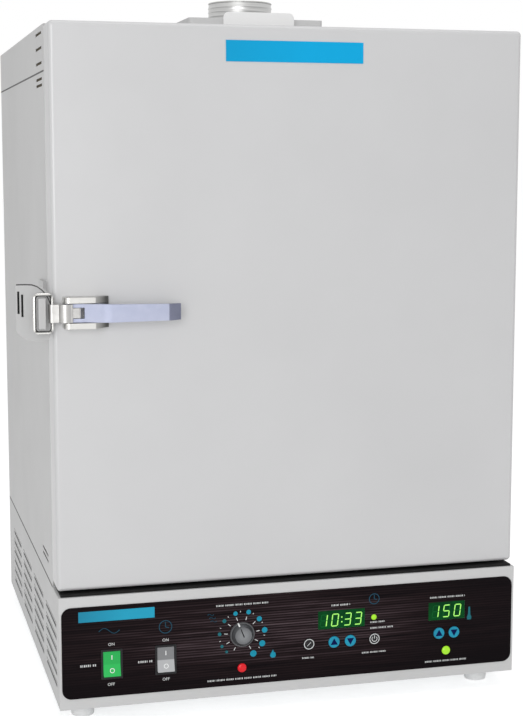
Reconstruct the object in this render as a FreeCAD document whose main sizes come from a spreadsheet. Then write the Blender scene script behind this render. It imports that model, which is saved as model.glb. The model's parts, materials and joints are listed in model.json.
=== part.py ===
import FreeCAD, Part
import math
import os
import Sketcher
from FreeCAD import Placement, Rotation, Vector

# Driving sizes, in millimetres and degrees
SIZES = {
    # Whole oven
    "cabinet_width": 559,
    "overall_depth": 557,
    "foot_height": 20,
    "base_height": 132,
    "base_step": 8.5,
    "skin": 1.2,
    "seam": 0.3,
    # Door
    "door_gap": 5.3,
    "door_height": 640,
    "door_thickness": 40,
    "door_seam": 4,
    "door_edge_radius": 5,
    "gasket_width": 14,
    "gasket_inset": 34,
    "gasket_clearance": 0.3,
    "badge_width": 162.5,
    "badge_height": 23.8,
    "badge_drop": 17.5,
    "badge_thickness": 0.8,
    # Cabinet and chamber
    "cap_height": 52,
    "side_insulation": 70,
    "roof_insulation": 62,
    "floor_insulation": 58,
    "rear_insulation": 60,
    "service_depth": 50.8,
    "liner_gauge": 1,
    "vent_slot_length": 58,
    "vent_slot_height": 3,
    "vent_slot_pitch": 16.7,
    "vent_slot_drop": 8.2,
    "vent_slot_setback": 62,
    "panel_slot_drop": 7.5,
    "panel_slot_pitch": 7,
    "low_slot_rise": 20,
    "low_slot_setback": 80,
    # Louvres in the sides of the base
    "louvre_length": 97,
    "louvre_height": 4.2,
    "louvre_pitch": 14.2,
    "louvre_rise": 21.5,
    "louvre_setback": 15,
    "louvre_spacing": 127.5,
    # Feet
    "foot_radius": 14,
    "foot_inset": 31.5,
    "foot_setback": 33,
    "stud_radius": 4,
    "stud_length": 14,
    # Shelves
    "shelf_wire": 1.6,
    "shelf_wire_spacing": 23.6,
    "shelf_frame_wire": 3.2,
    "shelf_side_gap": 9,
    "shelf_front_gap": 12,
    "lower_shelf_rise": 150,
    "shelf_spacing": 190,
    "standard_width": 16,
    "standard_thickness": 1.5,
    "standard_setback": 70,
    "clip_height": 8,
    "clip_reach": 14,
    # Heater and probes
    "diffuser_rise": 46,
    "diffuser_gauge": 1.2,
    "diffuser_gap": 2,
    "diffuser_slot_spacing": 52,
    "diffuser_slot_width": 10,
    "diffuser_slot_margin": 50,
    "diffuser_slot_bridge": 35,
    "element_radius": 4,
    "element_rise": 22,
    "element_inset": 60,
    "element_spacing": 60,
    "element_overhang": 15,
    "element_bar": 4,
    "probe_radius": 2.5,
    "probe_length": 110,
    "probe_drop": 60,
    "probe_spread": 40,
    # Vent on the roof
    "vent_side": 171,
    "vent_height": 23,
    "vent_corner": 4,
    "vent_setback": 170,
    "vent_gauge": 1.2,
    "chimney_radius": 41,
    "chimney_height": 27,
    "flue_radius": 30,
    "flue_wall": 1,
    "damper_gauge": 1.5,
    "damper_width": 128,
    "damper_rise": 10,
    "lip_width": 90,
    "lip_reach": 12,
    "lip_height": 19.6,
    "lip_corner": 7,
    "rail_width": 10,
    "running_gap": 0.4,
    # Control panel
    "overlay_inset": 2.7,
    "overlay_rise": 12.6,
    "overlay_height": 107.6,
    "overlay_thickness": 0.8,
    "overlay_corner": 11,
    "power_rocker_x": -219.4,
    "timer_rocker_x": -156.3,
    "rocker_rise": 51,
    "rocker_width": 20,
    "rocker_height": 29.5,
    "rocker_tilt": 7,
    "bezel_lip": 1.2,
    "bezel_wall": 1.2,
    "bezel_depth": 22,
    "knob_x": -65,
    "knob_rise": 74,
    "knob_radius": 15,
    "knob_depth": 8.5,
    "knob_face_radius": 10,
    "shaft_radius": 3.2,
    "thermostat_radius": 19,
    "thermostat_depth": 26,
    "lamp_radius": 5.5,
    "limit_lamp_rise": 33,
    "heat_lamp_x": 191.6,
    "timer_lamp_x": 98.4,
    "timer_lamp_rise": 81.8,
    "timer_lamp_radius": 3.5,
    "timer_display_x": 57.7,
    "timer_display_width": 58.8,
    "timer_display_rise": 82.7,
    "temperature_display_x": 191.9,
    "temperature_display_width": 47.4,
    "display_height": 22.6,
    "key_radius": 6.9,
    "key_rise": 55.2,
    "key_proud": 0.9,
    "key_travel": 0.5,
    "key_gap": 0.3,
    "board_setback": 16,
    "board_thickness": 1.6,
    "board_left_x": 0,
    "board_right_x": 228,
    "board_rise": 20,
    "board_height": 90,
    "inlet_setback": 89.5,
    "inlet_rise": 45,
    "relay_setback": 70,
    "relay_width": 45,
    "relay_depth": 50,
    "relay_height": 48,
    # Latch
    "latch_rise": 457.5,
    "latch_base_height": 35,
    "latch_ear": 6.5,
    "ear_front": 7,
    "latch_base_left": 11,
    "latch_base_length": 51.5,
    "latch_plate": 3,
    "pivot_inset": 16.5,
    "pivot_reach": 13,
    "lug_radius": 4.8,
    "pin_radius": 2,
    "pin_clearance": 0.06,
    "crank": 11,
    "lever_height": 20.4,
    "lever_taper": 1.2,
    "lever_lug": 4,
    "lever_length": 115.5,
    "lever_reach": 17,
    "lever_gauge": 5,
    "link_play": 0.4,
    "eye_reach": 29.5,
    "eye_radius": 4,
    "ring_wire": 1.9,
    "ring_width": 19.5,
    "ring_height": 42.3,
    "ring_corner": 5,
    # Keeper
    "keeper_reach": 40,
    "keeper_gauge": 3.2,
    "keeper_clearance": 1,
    "keeper_height": 62,
    "keeper_foot": 46,
    "keeper_plate_setback": 2,
    "nose_width": 8.6,
    "nose_height": 34.6,
    "nose_reach": 4,
    # Hinges
    "hinge_reach": 3.4,
    "knuckle_radius": 3,
    "hinge_pin_radius": 1.6,
    "hinge_height": 46,
    "hinge_inset": 6,
    "hinge_leaf": 1.6,
    "hinge_leaf_width": 15,
    "hinge_pin_head": 2.6,
}

doc = FreeCAD.newDocument("GravityConvectionOven")
sheet = doc.addObject("Spreadsheet::Sheet", "Sizes")
for row, (alias, number) in enumerate(SIZES.items(), start=1):
    sheet.set(f"A{row}", alias)
    sheet.set(f"B{row}", str(number))
    sheet.setAlias(f"B{row}", alias)
doc.recompute()


class Size:
    """A length of the sheet, or one worked out from such lengths: its expression and its value."""

    def __init__(self, text, value):
        self.text = text
        self.value = value

    @staticmethod
    def of(other):
        if isinstance(other, Size):
            return other
        return Size(repr(float(other)), float(other))

    def __add__(self, other):
        other = Size.of(other)
        return Size(f"({self.text} + {other.text})", self.value + other.value)

    def __sub__(self, other):
        other = Size.of(other)
        return Size(f"({self.text} - {other.text})", self.value - other.value)

    def __mul__(self, other):
        other = Size.of(other)
        return Size(f"({self.text} * {other.text})", self.value * other.value)

    def __truediv__(self, other):
        other = Size.of(other)
        return Size(f"({self.text} / {other.text})", self.value / other.value)

    def __neg__(self):
        return Size(f"(0 - {self.text})", -self.value)

    def __radd__(self, other):
        return Size.of(other) + self

    def __rsub__(self, other):
        return Size.of(other) - self

    __rmul__ = __mul__


class Sheet:
    """Gives each alias of the sheet as a Size."""

    def __getattr__(self, alias):
        return Size(f"Sizes.{alias}", float(getattr(sheet, alias)))


S = Sheet()
kept = []


# Helpers


def bind(item, prop, size):
    """Tie one property to the sheet."""
    item.setExpression(prop, Size.of(size).text)


def place(item, x, y, z):
    """Tie the position of an object to the sheet."""
    numbers = [Size.of(value).value for value in (x, y, z)]
    item.Placement = Placement(Vector(*numbers), item.Placement.Rotation)
    bind(item, ".Placement.Base.x", x)
    bind(item, ".Placement.Base.y", y)
    bind(item, ".Placement.Base.z", z)
    return item


def keep(item):
    """Mark an object as a sub-part to be written out."""
    kept.append(item)
    return item


def block(name, x, y, z):
    """A box between two places on each axis."""
    item = doc.addObject("Part::Box", name)
    bind(item, "Length", Size.of(x[1]) - x[0])
    bind(item, "Width", Size.of(y[1]) - y[0])
    bind(item, "Height", Size.of(z[1]) - z[0])
    return place(item, x[0], y[0], z[0])


TURNS = {
    "X": Rotation(Vector(0, 1, 0), 90),
    "Y": Rotation(Vector(1, 0, 0), -90),
    "Z": Rotation(),
}


def rod(name, radius, start, length, axis="Z"):
    """A cylinder from a starting point along one axis."""
    item = doc.addObject("Part::Cylinder", name)
    bind(item, "Radius", radius)
    bind(item, "Height", length)
    item.Placement = Placement(Vector(), TURNS[axis])
    return place(item, *start)


def cone(name, first, second, start, length, axis="Z"):
    """A cone frustum from a starting point along one axis."""
    item = doc.addObject("Part::Cone", name)
    bind(item, "Radius1", first)
    bind(item, "Radius2", second)
    bind(item, "Height", length)
    item.Placement = Placement(Vector(), TURNS[axis])
    return place(item, *start)


def group(name, pieces):
    """Several solids as one object."""
    item = doc.addObject("Part::Compound", name)
    item.Links = pieces
    return item


def fuse(name, pieces):
    """Solids joined into one."""
    item = doc.addObject("Part::MultiFuse", name)
    item.Shapes = pieces
    item.Refine = True
    return item


def cut(name, base, tools):
    """A solid less one or more others."""
    item = doc.addObject("Part::Cut", name)
    item.Base = base
    item.Tool = tools[0] if len(tools) == 1 else group(f"{name}_tools", tools)
    item.Refine = True
    return item


def fillet(name, base, radius, chosen):
    """Round the edges of a solid that a test picks."""
    doc.recompute()
    item = doc.addObject("Part::Fillet", name)
    item.Base = base
    edges = base.Shape.Edges
    item.Edges = [(i + 1, radius.value, radius.value) for i, edge in enumerate(edges) if chosen(edge)]
    return item


def along(edge, axis):
    """Whether a straight edge runs along an axis."""
    first, last = edge.Vertexes[0].Point, edge.Vertexes[-1].Point
    return abs((last - first).normalize().dot(axis)) > 0.999


X_AXIS, Y_AXIS, Z_AXIS = Vector(1, 0, 0), Vector(0, 1, 0), Vector(0, 0, 1)


# Sketches: an outline is a list of corners. A corner with a third value starts an arc of that
# radius to the next corner, which bulges to the right of the way from one to the next.


def arc_between(first, last, radius):
    """An arc of a radius between two points, its middle to the right of the way."""
    chord = last - first
    half = chord.Length / 2
    depth = math.sqrt(max(radius * radius - half * half, 0))
    left = Vector(-chord.y, chord.x, 0).normalize()
    centre = (first + last) * 0.5 + left * depth
    start = math.atan2(first.y - centre.y, first.x - centre.x)
    end = math.atan2(last.y - centre.y, last.x - centre.x)
    circle = Part.Circle(centre, Vector(0, 0, 1), radius)
    return Part.ArcOfCircle(circle, start, end if end > start else end + 2 * math.pi)


def tie(sketch, constraint, size):
    """Add a sketch dimension and tie it to the sheet."""
    index = sketch.addConstraint(constraint)
    name = f"size{index}"
    sketch.renameConstraint(index, name)
    bind(sketch, f"Constraints.{name}", size)


def draw_outline(sketch, corners):
    """Draw a closed outline, counter-clockwise, each corner tied to the sheet."""
    points = [Vector(Size.of(corner[0]).value, Size.of(corner[1]).value, 0) for corner in corners]
    lines = []
    for index, corner in enumerate(corners):
        first, last = points[index], points[(index + 1) % len(points)]
        if len(corner) > 2:
            shape = arc_between(first, last, Size.of(corner[2]).value)
        else:
            shape = Part.LineSegment(first, last)
        lines.append(sketch.addGeometry(shape, False))
    for index, corner in enumerate(corners):
        following = lines[(index + 1) % len(lines)]
        sketch.addConstraint(Sketcher.Constraint("Coincident", lines[index], 2, following, 1))
        x, y = Size.of(corner[0]), Size.of(corner[1])
        tie(sketch, Sketcher.Constraint("DistanceX", -1, 1, lines[index], 1, x.value), x)
        tie(sketch, Sketcher.Constraint("DistanceY", -1, 1, lines[index], 1, y.value), y)
        if len(corner) > 2:
            radius = Size.of(corner[2])
            tie(sketch, Sketcher.Constraint("Radius", lines[index], radius.value), radius)


def draw_circle(sketch, x, y, radius):
    """Draw a circle tied to the sheet."""
    x, y, radius = Size.of(x), Size.of(y), Size.of(radius)
    circle = Part.Circle(Vector(x.value, y.value, 0), Vector(0, 0, 1), radius.value)
    index = sketch.addGeometry(circle, False)
    tie(sketch, Sketcher.Constraint("Radius", index, radius.value), radius)
    tie(sketch, Sketcher.Constraint("DistanceX", -1, 1, index, 3, x.value), x)
    tie(sketch, Sketcher.Constraint("DistanceY", -1, 1, index, 3, y.value), y)


def rounded(x, y, radius):
    """The corners of a rectangle with rounded corners."""
    r = Size.of(radius)
    x0, x1, y0, y1 = Size.of(x[0]), Size.of(x[1]), Size.of(y[0]), Size.of(y[1])
    return [
        (x0 + r, y0),
        (x1 - r, y0, r),
        (x1, y0 + r),
        (x1, y1 - r, r),
        (x1 - r, y1),
        (x0 + r, y1, r),
        (x0, y1 - r),
        (x0, y0 + r, r),
    ]


def pad(name, plane, depth, outlines, circles=(), at=(0, 0, 0)):
    """A body padded from a sketch on one of its own planes.

    XY pads go up, XZ pads go to the front (-Y) and YZ pads go to the right (+X)."""
    body = doc.addObject("PartDesign::Body", name)
    sketch = body.newObject("Sketcher::SketchObject", f"{name}_outline")
    origin_plane = next(f for f in body.Origin.OriginFeatures if f.Role == f"{plane}_Plane")
    sketch.AttachmentSupport = [(origin_plane, "")]
    sketch.MapMode = "FlatFace"
    for outline in outlines:
        draw_outline(sketch, outline)
    for x, y, radius in circles:
        draw_circle(sketch, x, y, radius)
    feature = body.newObject("PartDesign::Pad", f"{name}_pad")
    feature.Profile = sketch
    bind(feature, "Length", depth)
    sketch.Visibility = False
    place(body, *at)
    return body


# Main places, worked out from the driving sizes

lever_front = S.pivot_reach + S.lever_reach
middle = (S.keeper_reach - S.hinge_reach - S.knuckle_radius) / 2
left = middle - S.cabinet_width / 2
right = middle + S.cabinet_width / 2
front = (lever_front - S.overall_depth) / 2
back = front + S.overall_depth
door_back = front + S.door_thickness
cabinet_front = door_back + S.door_seam
base_front = front - S.base_step
base_bottom = S.foot_height
base_top = base_bottom + S.base_height
door_bottom = base_top + S.door_gap
door_top = door_bottom + S.door_height
cap_bottom = door_top - S.cap_height
chamber_left = left + S.side_insulation
chamber_right = right - S.side_insulation
chamber_bottom = base_top + S.skin + S.floor_insulation
chamber_top = door_top - S.roof_insulation
chamber_back = back - S.skin - S.service_depth - S.rear_insulation - S.liner_gauge
overlay_front = base_front - S.overlay_thickness


# Base housing


def side_slots(name, x, y_start, length, z_middle, height):
    """A slot through one side wall."""
    return block(
        name,
        (x - 2, x + S.skin + 2),
        (y_start, y_start + length),
        (z_middle - height / 2, z_middle + height / 2),
    )


def front_hole(name, x, z, radius):
    """A round hole through the front of the base and the overlay."""
    return rod(name, radius, (middle + x, overlay_front - 2, base_bottom + z), 12, "Y")


def front_window(name, x, z, width, height):
    """A rectangular hole through the front of the base and the overlay."""
    return block(
        name,
        (middle + x - width / 2, middle + x + width / 2),
        (overlay_front - 2, base_front + 10),
        (base_bottom + z - height / 2, base_bottom + z + height / 2),
    )


KEYS = {
    "timer_reset_key": 17,
    "timer_up_key": 48.3,
    "timer_down_key": 68.7,
    "start_stop_key": 99.1,
    "temperature_up_key": 182,
    "temperature_down_key": 201.5,
}


def panel_openings(prefix):
    """The openings that the overlay and the housing share."""
    rocker_x = {"power": S.power_rocker_x, "timer": S.timer_rocker_x}
    bezel_width = S.rocker_width + 2 * S.seam + 2 * S.bezel_wall
    bezel_height = S.rocker_height + 4 * S.seam + 2 * S.bezel_wall
    tools = [
        front_window(f"{prefix}_{name}_rocker_hole", x, S.rocker_rise, bezel_width, bezel_height)
        for name, x in rocker_x.items()
    ]
    tools.append(
        front_window(
            f"{prefix}_timer_window",
            S.timer_display_x,
            S.timer_display_rise,
            S.timer_display_width,
            S.display_height,
        )
    )
    tools.append(
        front_window(
            f"{prefix}_temperature_window",
            S.temperature_display_x,
            S.timer_display_rise,
            S.temperature_display_width,
            S.display_height,
        )
    )
    tools.append(front_hole(f"{prefix}_shaft_hole", S.knob_x, S.knob_rise, S.shaft_radius + S.seam))
    tools.append(front_hole(f"{prefix}_limit_lamp_hole", S.knob_x, S.limit_lamp_rise, S.lamp_radius))
    tools.append(front_hole(f"{prefix}_heat_lamp_hole", S.heat_lamp_x, S.limit_lamp_rise, S.lamp_radius))
    tools.append(
        front_hole(f"{prefix}_timer_lamp_hole", S.timer_lamp_x, S.timer_lamp_rise, S.timer_lamp_radius)
    )
    for name, x in KEYS.items():
        tools.append(front_hole(f"{prefix}_{name}_hole", x, S.key_rise, S.key_radius + S.key_gap))
    return tools


def make_base():
    outer = block("base_shell", (left, right), (base_front, back), (base_bottom, base_top))
    inner = block(
        "base_hollow",
        (left + S.skin, right - S.skin),
        (base_front + S.skin, back - S.skin),
        (base_bottom - 1, base_top - S.skin),
    )
    tools = [inner] + panel_openings("base")
    for side, x in (("left", left), ("right", right - S.skin)):
        for column in range(4):
            for level in range(6):
                tools.append(
                    side_slots(
                        f"louvre_{side}_{column}_{level}",
                        x,
                        front + S.louvre_setback + S.louvre_spacing * column,
                        S.louvre_length,
                        base_bottom + S.louvre_rise + S.louvre_pitch * level,
                        S.louvre_height,
                    )
                )
    inlet_hole = block(
        "inlet_hole",
        (right - S.inlet_setback - 14, right - S.inlet_setback + 14),
        (back - 5, back + 5),
        (base_bottom + S.inlet_rise - 10, base_bottom + S.inlet_rise + 10),
    )
    tools.append(inlet_hole)
    keep(cut("base_housing", outer, tools))


def foot_places():
    """The four feet, near the corners of the base."""
    xs = (left + S.foot_inset, right - S.foot_inset)
    ys = (front + S.foot_setback, back - S.foot_setback)
    return [(x, y) for x in xs for y in ys]


def make_floor_and_feet():
    plate = block(
        "base_floor_plate",
        (left + S.skin, right - S.skin),
        (base_front + S.skin, back - S.skin),
        (base_bottom, base_bottom + S.skin),
    )
    holes, feet = [], []
    for index, (x, y) in enumerate(foot_places()):
        holes.append(rod(f"stud_hole_{index}", S.stud_radius + S.seam, (x, y, base_bottom - 1), 5))
        pad_height = S.foot_height * 0.3
        wide = cone(f"foot_pad_{index}", S.foot_radius * 0.93, S.foot_radius, (x, y, 0), pad_height)
        neck = cone(
            f"foot_neck_{index}",
            S.foot_radius,
            S.foot_radius * 0.72,
            (x, y, pad_height),
            S.foot_height - pad_height,
        )
        stud = rod(f"foot_stud_{index}", S.stud_radius, (x, y, pad_height), S.foot_height + S.stud_length - pad_height)
        feet.append(fuse(f"foot_{index}", [wide, neck, stud]))
    keep(cut("base_floor", plate, holes))
    keep(group("levelling_feet", feet))


# Upper cabinet


def make_cabinet():
    panels = (
        ("side_panel_left", left),
        ("side_panel_right", right - S.skin),
    )
    for name, x in panels:
        plate = block(f"{name}_plate", (x, x + S.skin), (cabinet_front, back), (base_top, cap_bottom))
        slots = []
        for level in range(2):
            z = cap_bottom - S.panel_slot_drop - S.panel_slot_pitch * level
            y = front + S.vent_slot_setback
            slots.append(side_slots(f"{name}_high_{level}", x, y, S.vent_slot_length, z, S.vent_slot_height))
            z = base_top + S.low_slot_rise + S.panel_slot_pitch * level
            y = front + S.low_slot_setback
            slots.append(side_slots(f"{name}_low_{level}", x, y, S.vent_slot_length, z, S.vent_slot_height))
        keep(cut(name, plate, slots))

    shell = block("cap_shell", (left, right), (cabinet_front, back), (cap_bottom, door_top))
    tools = [
        block(
            "cap_hollow",
            (left + S.skin, right - S.skin),
            (cabinet_front - 1, back - S.skin),
            (cap_bottom - 1, door_top - S.skin),
        ),
        rod(
            "cap_flue_hole",
            S.flue_radius,
            (middle, vent_middle, door_top - 10),
            20,
        ),
    ]
    for side, x in (("left", left), ("right", right - S.skin)):
        for level in range(3):
            z = door_top - S.vent_slot_drop - S.vent_slot_pitch * level
            y = front + S.vent_slot_setback
            tools.append(side_slots(f"cap_slot_{side}_{level}", x, y, S.vent_slot_length, z, S.vent_slot_height))
    keep(cut("top_cap", shell, tools))

    inside_x = (left + S.skin, right - S.skin)
    keep(block("rear_panel", inside_x, (back - S.skin, back), (base_top, cap_bottom)))
    keep(block("cabinet_deck", inside_x, (cabinet_front, back - S.skin), (base_top, base_top + S.skin)))

    face = block(
        "frame_plate",
        inside_x,
        (cabinet_front, cabinet_front + S.skin),
        (base_top + S.skin, door_top - S.skin),
    )
    opening = block(
        "frame_opening",
        (chamber_left - S.liner_gauge, chamber_right + S.liner_gauge),
        (cabinet_front - 5, cabinet_front + 10),
        (chamber_bottom - S.liner_gauge, chamber_top + S.liner_gauge),
    )
    keep(cut("front_frame", face, [opening]))


def probe_places():
    """Where the two probes come through the rear wall of the chamber."""
    z = chamber_top - S.probe_drop
    return [(middle - S.probe_spread, z), (middle + S.probe_spread, z)]


def make_chamber():
    gauge = S.liner_gauge
    outer = block(
        "liner_shell",
        (chamber_left - gauge, chamber_right + gauge),
        (cabinet_front, chamber_back + gauge),
        (chamber_bottom - gauge, chamber_top + gauge),
    )
    hollow = block(
        "liner_hollow",
        (chamber_left, chamber_right),
        (cabinet_front - 5, chamber_back),
        (chamber_bottom, chamber_top),
    )
    flue_hole = rod("liner_flue_hole", S.flue_radius, (middle, vent_middle, chamber_top - 5), 12)
    probe_holes = [
        rod(f"liner_probe_hole_{i}", S.probe_radius, (x, chamber_back - 5, z), 12, "Y")
        for i, (x, z) in enumerate(probe_places())
    ]
    keep(cut("chamber_liner", outer, [hollow, flue_hole] + probe_holes))

    probes = []
    for index, (x, z) in enumerate(probe_places()):
        start = chamber_back - S.probe_length
        stem = rod(f"probe_stem_{index}", S.probe_radius, (x, start, z), S.probe_length + S.rear_insulation, "Y")
        collar = rod(f"probe_collar_{index}", S.probe_radius * 2, (x, chamber_back - 3, z), 3, "Y")
        probes.append(fuse(f"probe_{index}", [stem, collar]))
    keep(group("chamber_probes", probes))

    jacket = block(
        "jacket_block",
        (left + S.skin + S.seam, right - S.skin - S.seam),
        (cabinet_front + S.skin + S.seam, chamber_back + gauge + S.rear_insulation),
        (base_top + S.skin + S.seam, door_top - S.skin - S.seam),
    )
    room = block(
        "jacket_room",
        (chamber_left - gauge - S.seam, chamber_right + gauge + S.seam),
        (cabinet_front - 5, chamber_back + gauge + S.seam),
        (chamber_bottom - gauge - S.seam, chamber_top + gauge + S.seam),
    )
    flue_room = rod("jacket_flue_room", S.flue_radius + S.seam, (middle, vent_middle, chamber_top - 5), S.roof_insulation + 38)
    probe_rooms = [
        rod(f"jacket_probe_room_{i}", S.probe_radius + S.seam, (x, chamber_back - 5, z), S.rear_insulation + 40, "Y")
        for i, (x, z) in enumerate(probe_places())
    ]
    keep(cut("insulation_jacket", jacket, [room, flue_room] + probe_rooms))


def make_shelves():
    standards, clips = [], []
    rise = {"lower_shelf": S.lower_shelf_rise, "upper_shelf": S.lower_shelf_rise + S.shelf_spacing}
    ys = (cabinet_front + S.standard_setback, chamber_back - S.standard_setback)
    walls = (("left", chamber_left, 1), ("right", chamber_right, -1))
    for side, wall, sign in walls:
        for index, y in enumerate(ys):
            face = wall + S.standard_thickness * sign
            x = (wall, face) if sign > 0 else (face, wall)
            span_y = (y - S.standard_width / 2, y + S.standard_width / 2)
            strip = block(
                f"standard_{side}_{index}", x, span_y, (chamber_bottom + S.diffuser_rise + 5, chamber_top - 12)
            )
            standards.append(strip)
            for name, height in rise.items():
                tip = face + S.clip_reach * sign
                x = (face, tip) if sign > 0 else (tip, face)
                z = chamber_bottom + height - S.shelf_frame_wire
                clips.append(
                    block(
                        f"clip_{name}_{side}_{index}",
                        x,
                        (y - S.standard_width / 3, y + S.standard_width / 3),
                        (z - S.clip_height, z),
                    )
                )
    keep(group("shelf_standards", standards))
    keep(group("shelf_clips", clips))

    x0 = chamber_left + S.shelf_side_gap
    x1 = chamber_right - S.shelf_side_gap
    y0 = cabinet_front + S.shelf_front_gap
    y1 = chamber_back - S.shelf_front_gap
    wires = round((x1 - x0).value / S.shelf_wire_spacing.value)
    for name, height in rise.items():
        z = chamber_bottom + height
        thick = S.shelf_frame_wire
        pieces = [
            rod(f"{name}_front", thick, (x0, y0, z), x1 - x0, "X"),
            rod(f"{name}_rear", thick, (x0, y1, z), x1 - x0, "X"),
            rod(f"{name}_left", thick, (x0, y0, z), y1 - y0, "Y"),
            rod(f"{name}_right", thick, (x1, y0, z), y1 - y0, "Y"),
            rod(f"{name}_brace", thick * 0.75, (x0, (y0 + y1) / 2, z - thick), x1 - x0, "X"),
        ]
        for wire in range(1, wires):
            x = x0 + (x1 - x0) * (wire / wires)
            pieces.append(rod(f"{name}_wire_{wire}", S.shelf_wire, (x, y0, z), y1 - y0, "Y"))
        for index, (x, y) in enumerate([(x0, y0), (x0, y1), (x1, y0), (x1, y1)]):
            ball = doc.addObject("Part::Sphere", f"{name}_corner_{index}")
            bind(ball, "Radius", thick)
            pieces.append(place(ball, x, y, z))
        keep(fuse(name, pieces))


def make_heater():
    """A tubular element that runs to and fro under the diffuser, its ends through the rear wall."""
    z = chamber_bottom + S.element_rise
    x0 = chamber_left + S.element_inset
    x1 = chamber_right - S.element_inset
    y0 = cabinet_front + S.element_inset
    y1 = chamber_back - S.element_inset
    # An even number of runs, so that both ends leave at the rear
    pairs = round(((x1 - x0).value / S.element_spacing.value + 1) / 2)
    bends = 2 * pairs - 1
    pitch = (x1 - x0).value / bends
    half = pitch / 2
    near, far = y0.value + half, y1.value - half
    path = []
    for run in range(bends + 1):
        x = x0.value + pitch * run
        towards_front = run % 2 == 0
        start = chamber_back.value if run == 0 else (far if towards_front else near)
        stop = near if towards_front else far
        if run == bends:
            stop = chamber_back.value
        path.append(Part.LineSegment(Vector(x, start, z.value), Vector(x, stop, z.value)).toShape())
        if run < bends:
            bulge = -half if towards_front else half
            arc = Part.Arc(
                Vector(x, stop, z.value),
                Vector(x + half, stop + bulge, z.value),
                Vector(x + pitch, stop, z.value),
            )
            path.append(arc.toShape())
    wire = Part.Wire(path)
    ring = Part.Wire(
        Part.Circle(path[0].Vertexes[0].Point, Vector(0, 1, 0), S.element_radius.value).toShape()
    )
    tube = wire.makePipeShell([ring], True, True)
    element = doc.addObject("Part::Feature", "heating_element")
    element.Shape = tube
    keep(element)

    supports = []
    for index, y in enumerate((y0 + S.element_inset, y1 - S.element_inset)):
        bar = block(
            f"element_bar_{index}",
            (x0 - S.element_overhang, x1 + S.element_overhang),
            (y - S.element_bar / 2, y + S.element_bar / 2),
            (chamber_bottom, z - S.element_radius),
        )
        supports.append(bar)
    keep(group("element_brackets", supports))

    floor = chamber_bottom + S.diffuser_rise
    plate_left, plate_right = chamber_left + S.diffuser_gap, chamber_right - S.diffuser_gap
    plate_y = (cabinet_front + S.diffuser_gap * 3, chamber_back - S.diffuser_gap)
    plate = block("diffuser_sheet", (plate_left, plate_right), plate_y, (floor, floor + S.diffuser_gauge))
    legs = [
        block(f"diffuser_leg_{index}", (x, x + S.diffuser_gauge), plate_y, (chamber_bottom, floor))
        for index, x in enumerate((plate_left, plate_right - S.diffuser_gauge))
    ]
    # Two banks of slots, as many across as the width holds
    columns = round((chamber_right - chamber_left).value / S.diffuser_slot_spacing.value)
    slots = []
    reach = (chamber_back - cabinet_front - S.diffuser_slot_margin * 2 + S.diffuser_slot_bridge) / 2
    for column in range(1, columns):
        x = chamber_left + (chamber_right - chamber_left) * (column / columns)
        for bank in range(2):
            y = cabinet_front + S.diffuser_slot_margin + reach * bank
            slots.append(
                block(
                    f"diffuser_slot_{column}_{bank}",
                    (x - S.diffuser_slot_width / 2, x + S.diffuser_slot_width / 2),
                    (y, y + reach - S.diffuser_slot_bridge),
                    (floor - 5, floor + 8),
                )
            )
    keep(cut("diffuser_plate", fuse("diffuser_body", [plate] + legs), slots))


# Vent on the roof

vent_front = front + S.vent_setback
vent_middle = vent_front + S.vent_side / 2
damper_bottom = door_top + S.damper_rise


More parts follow.
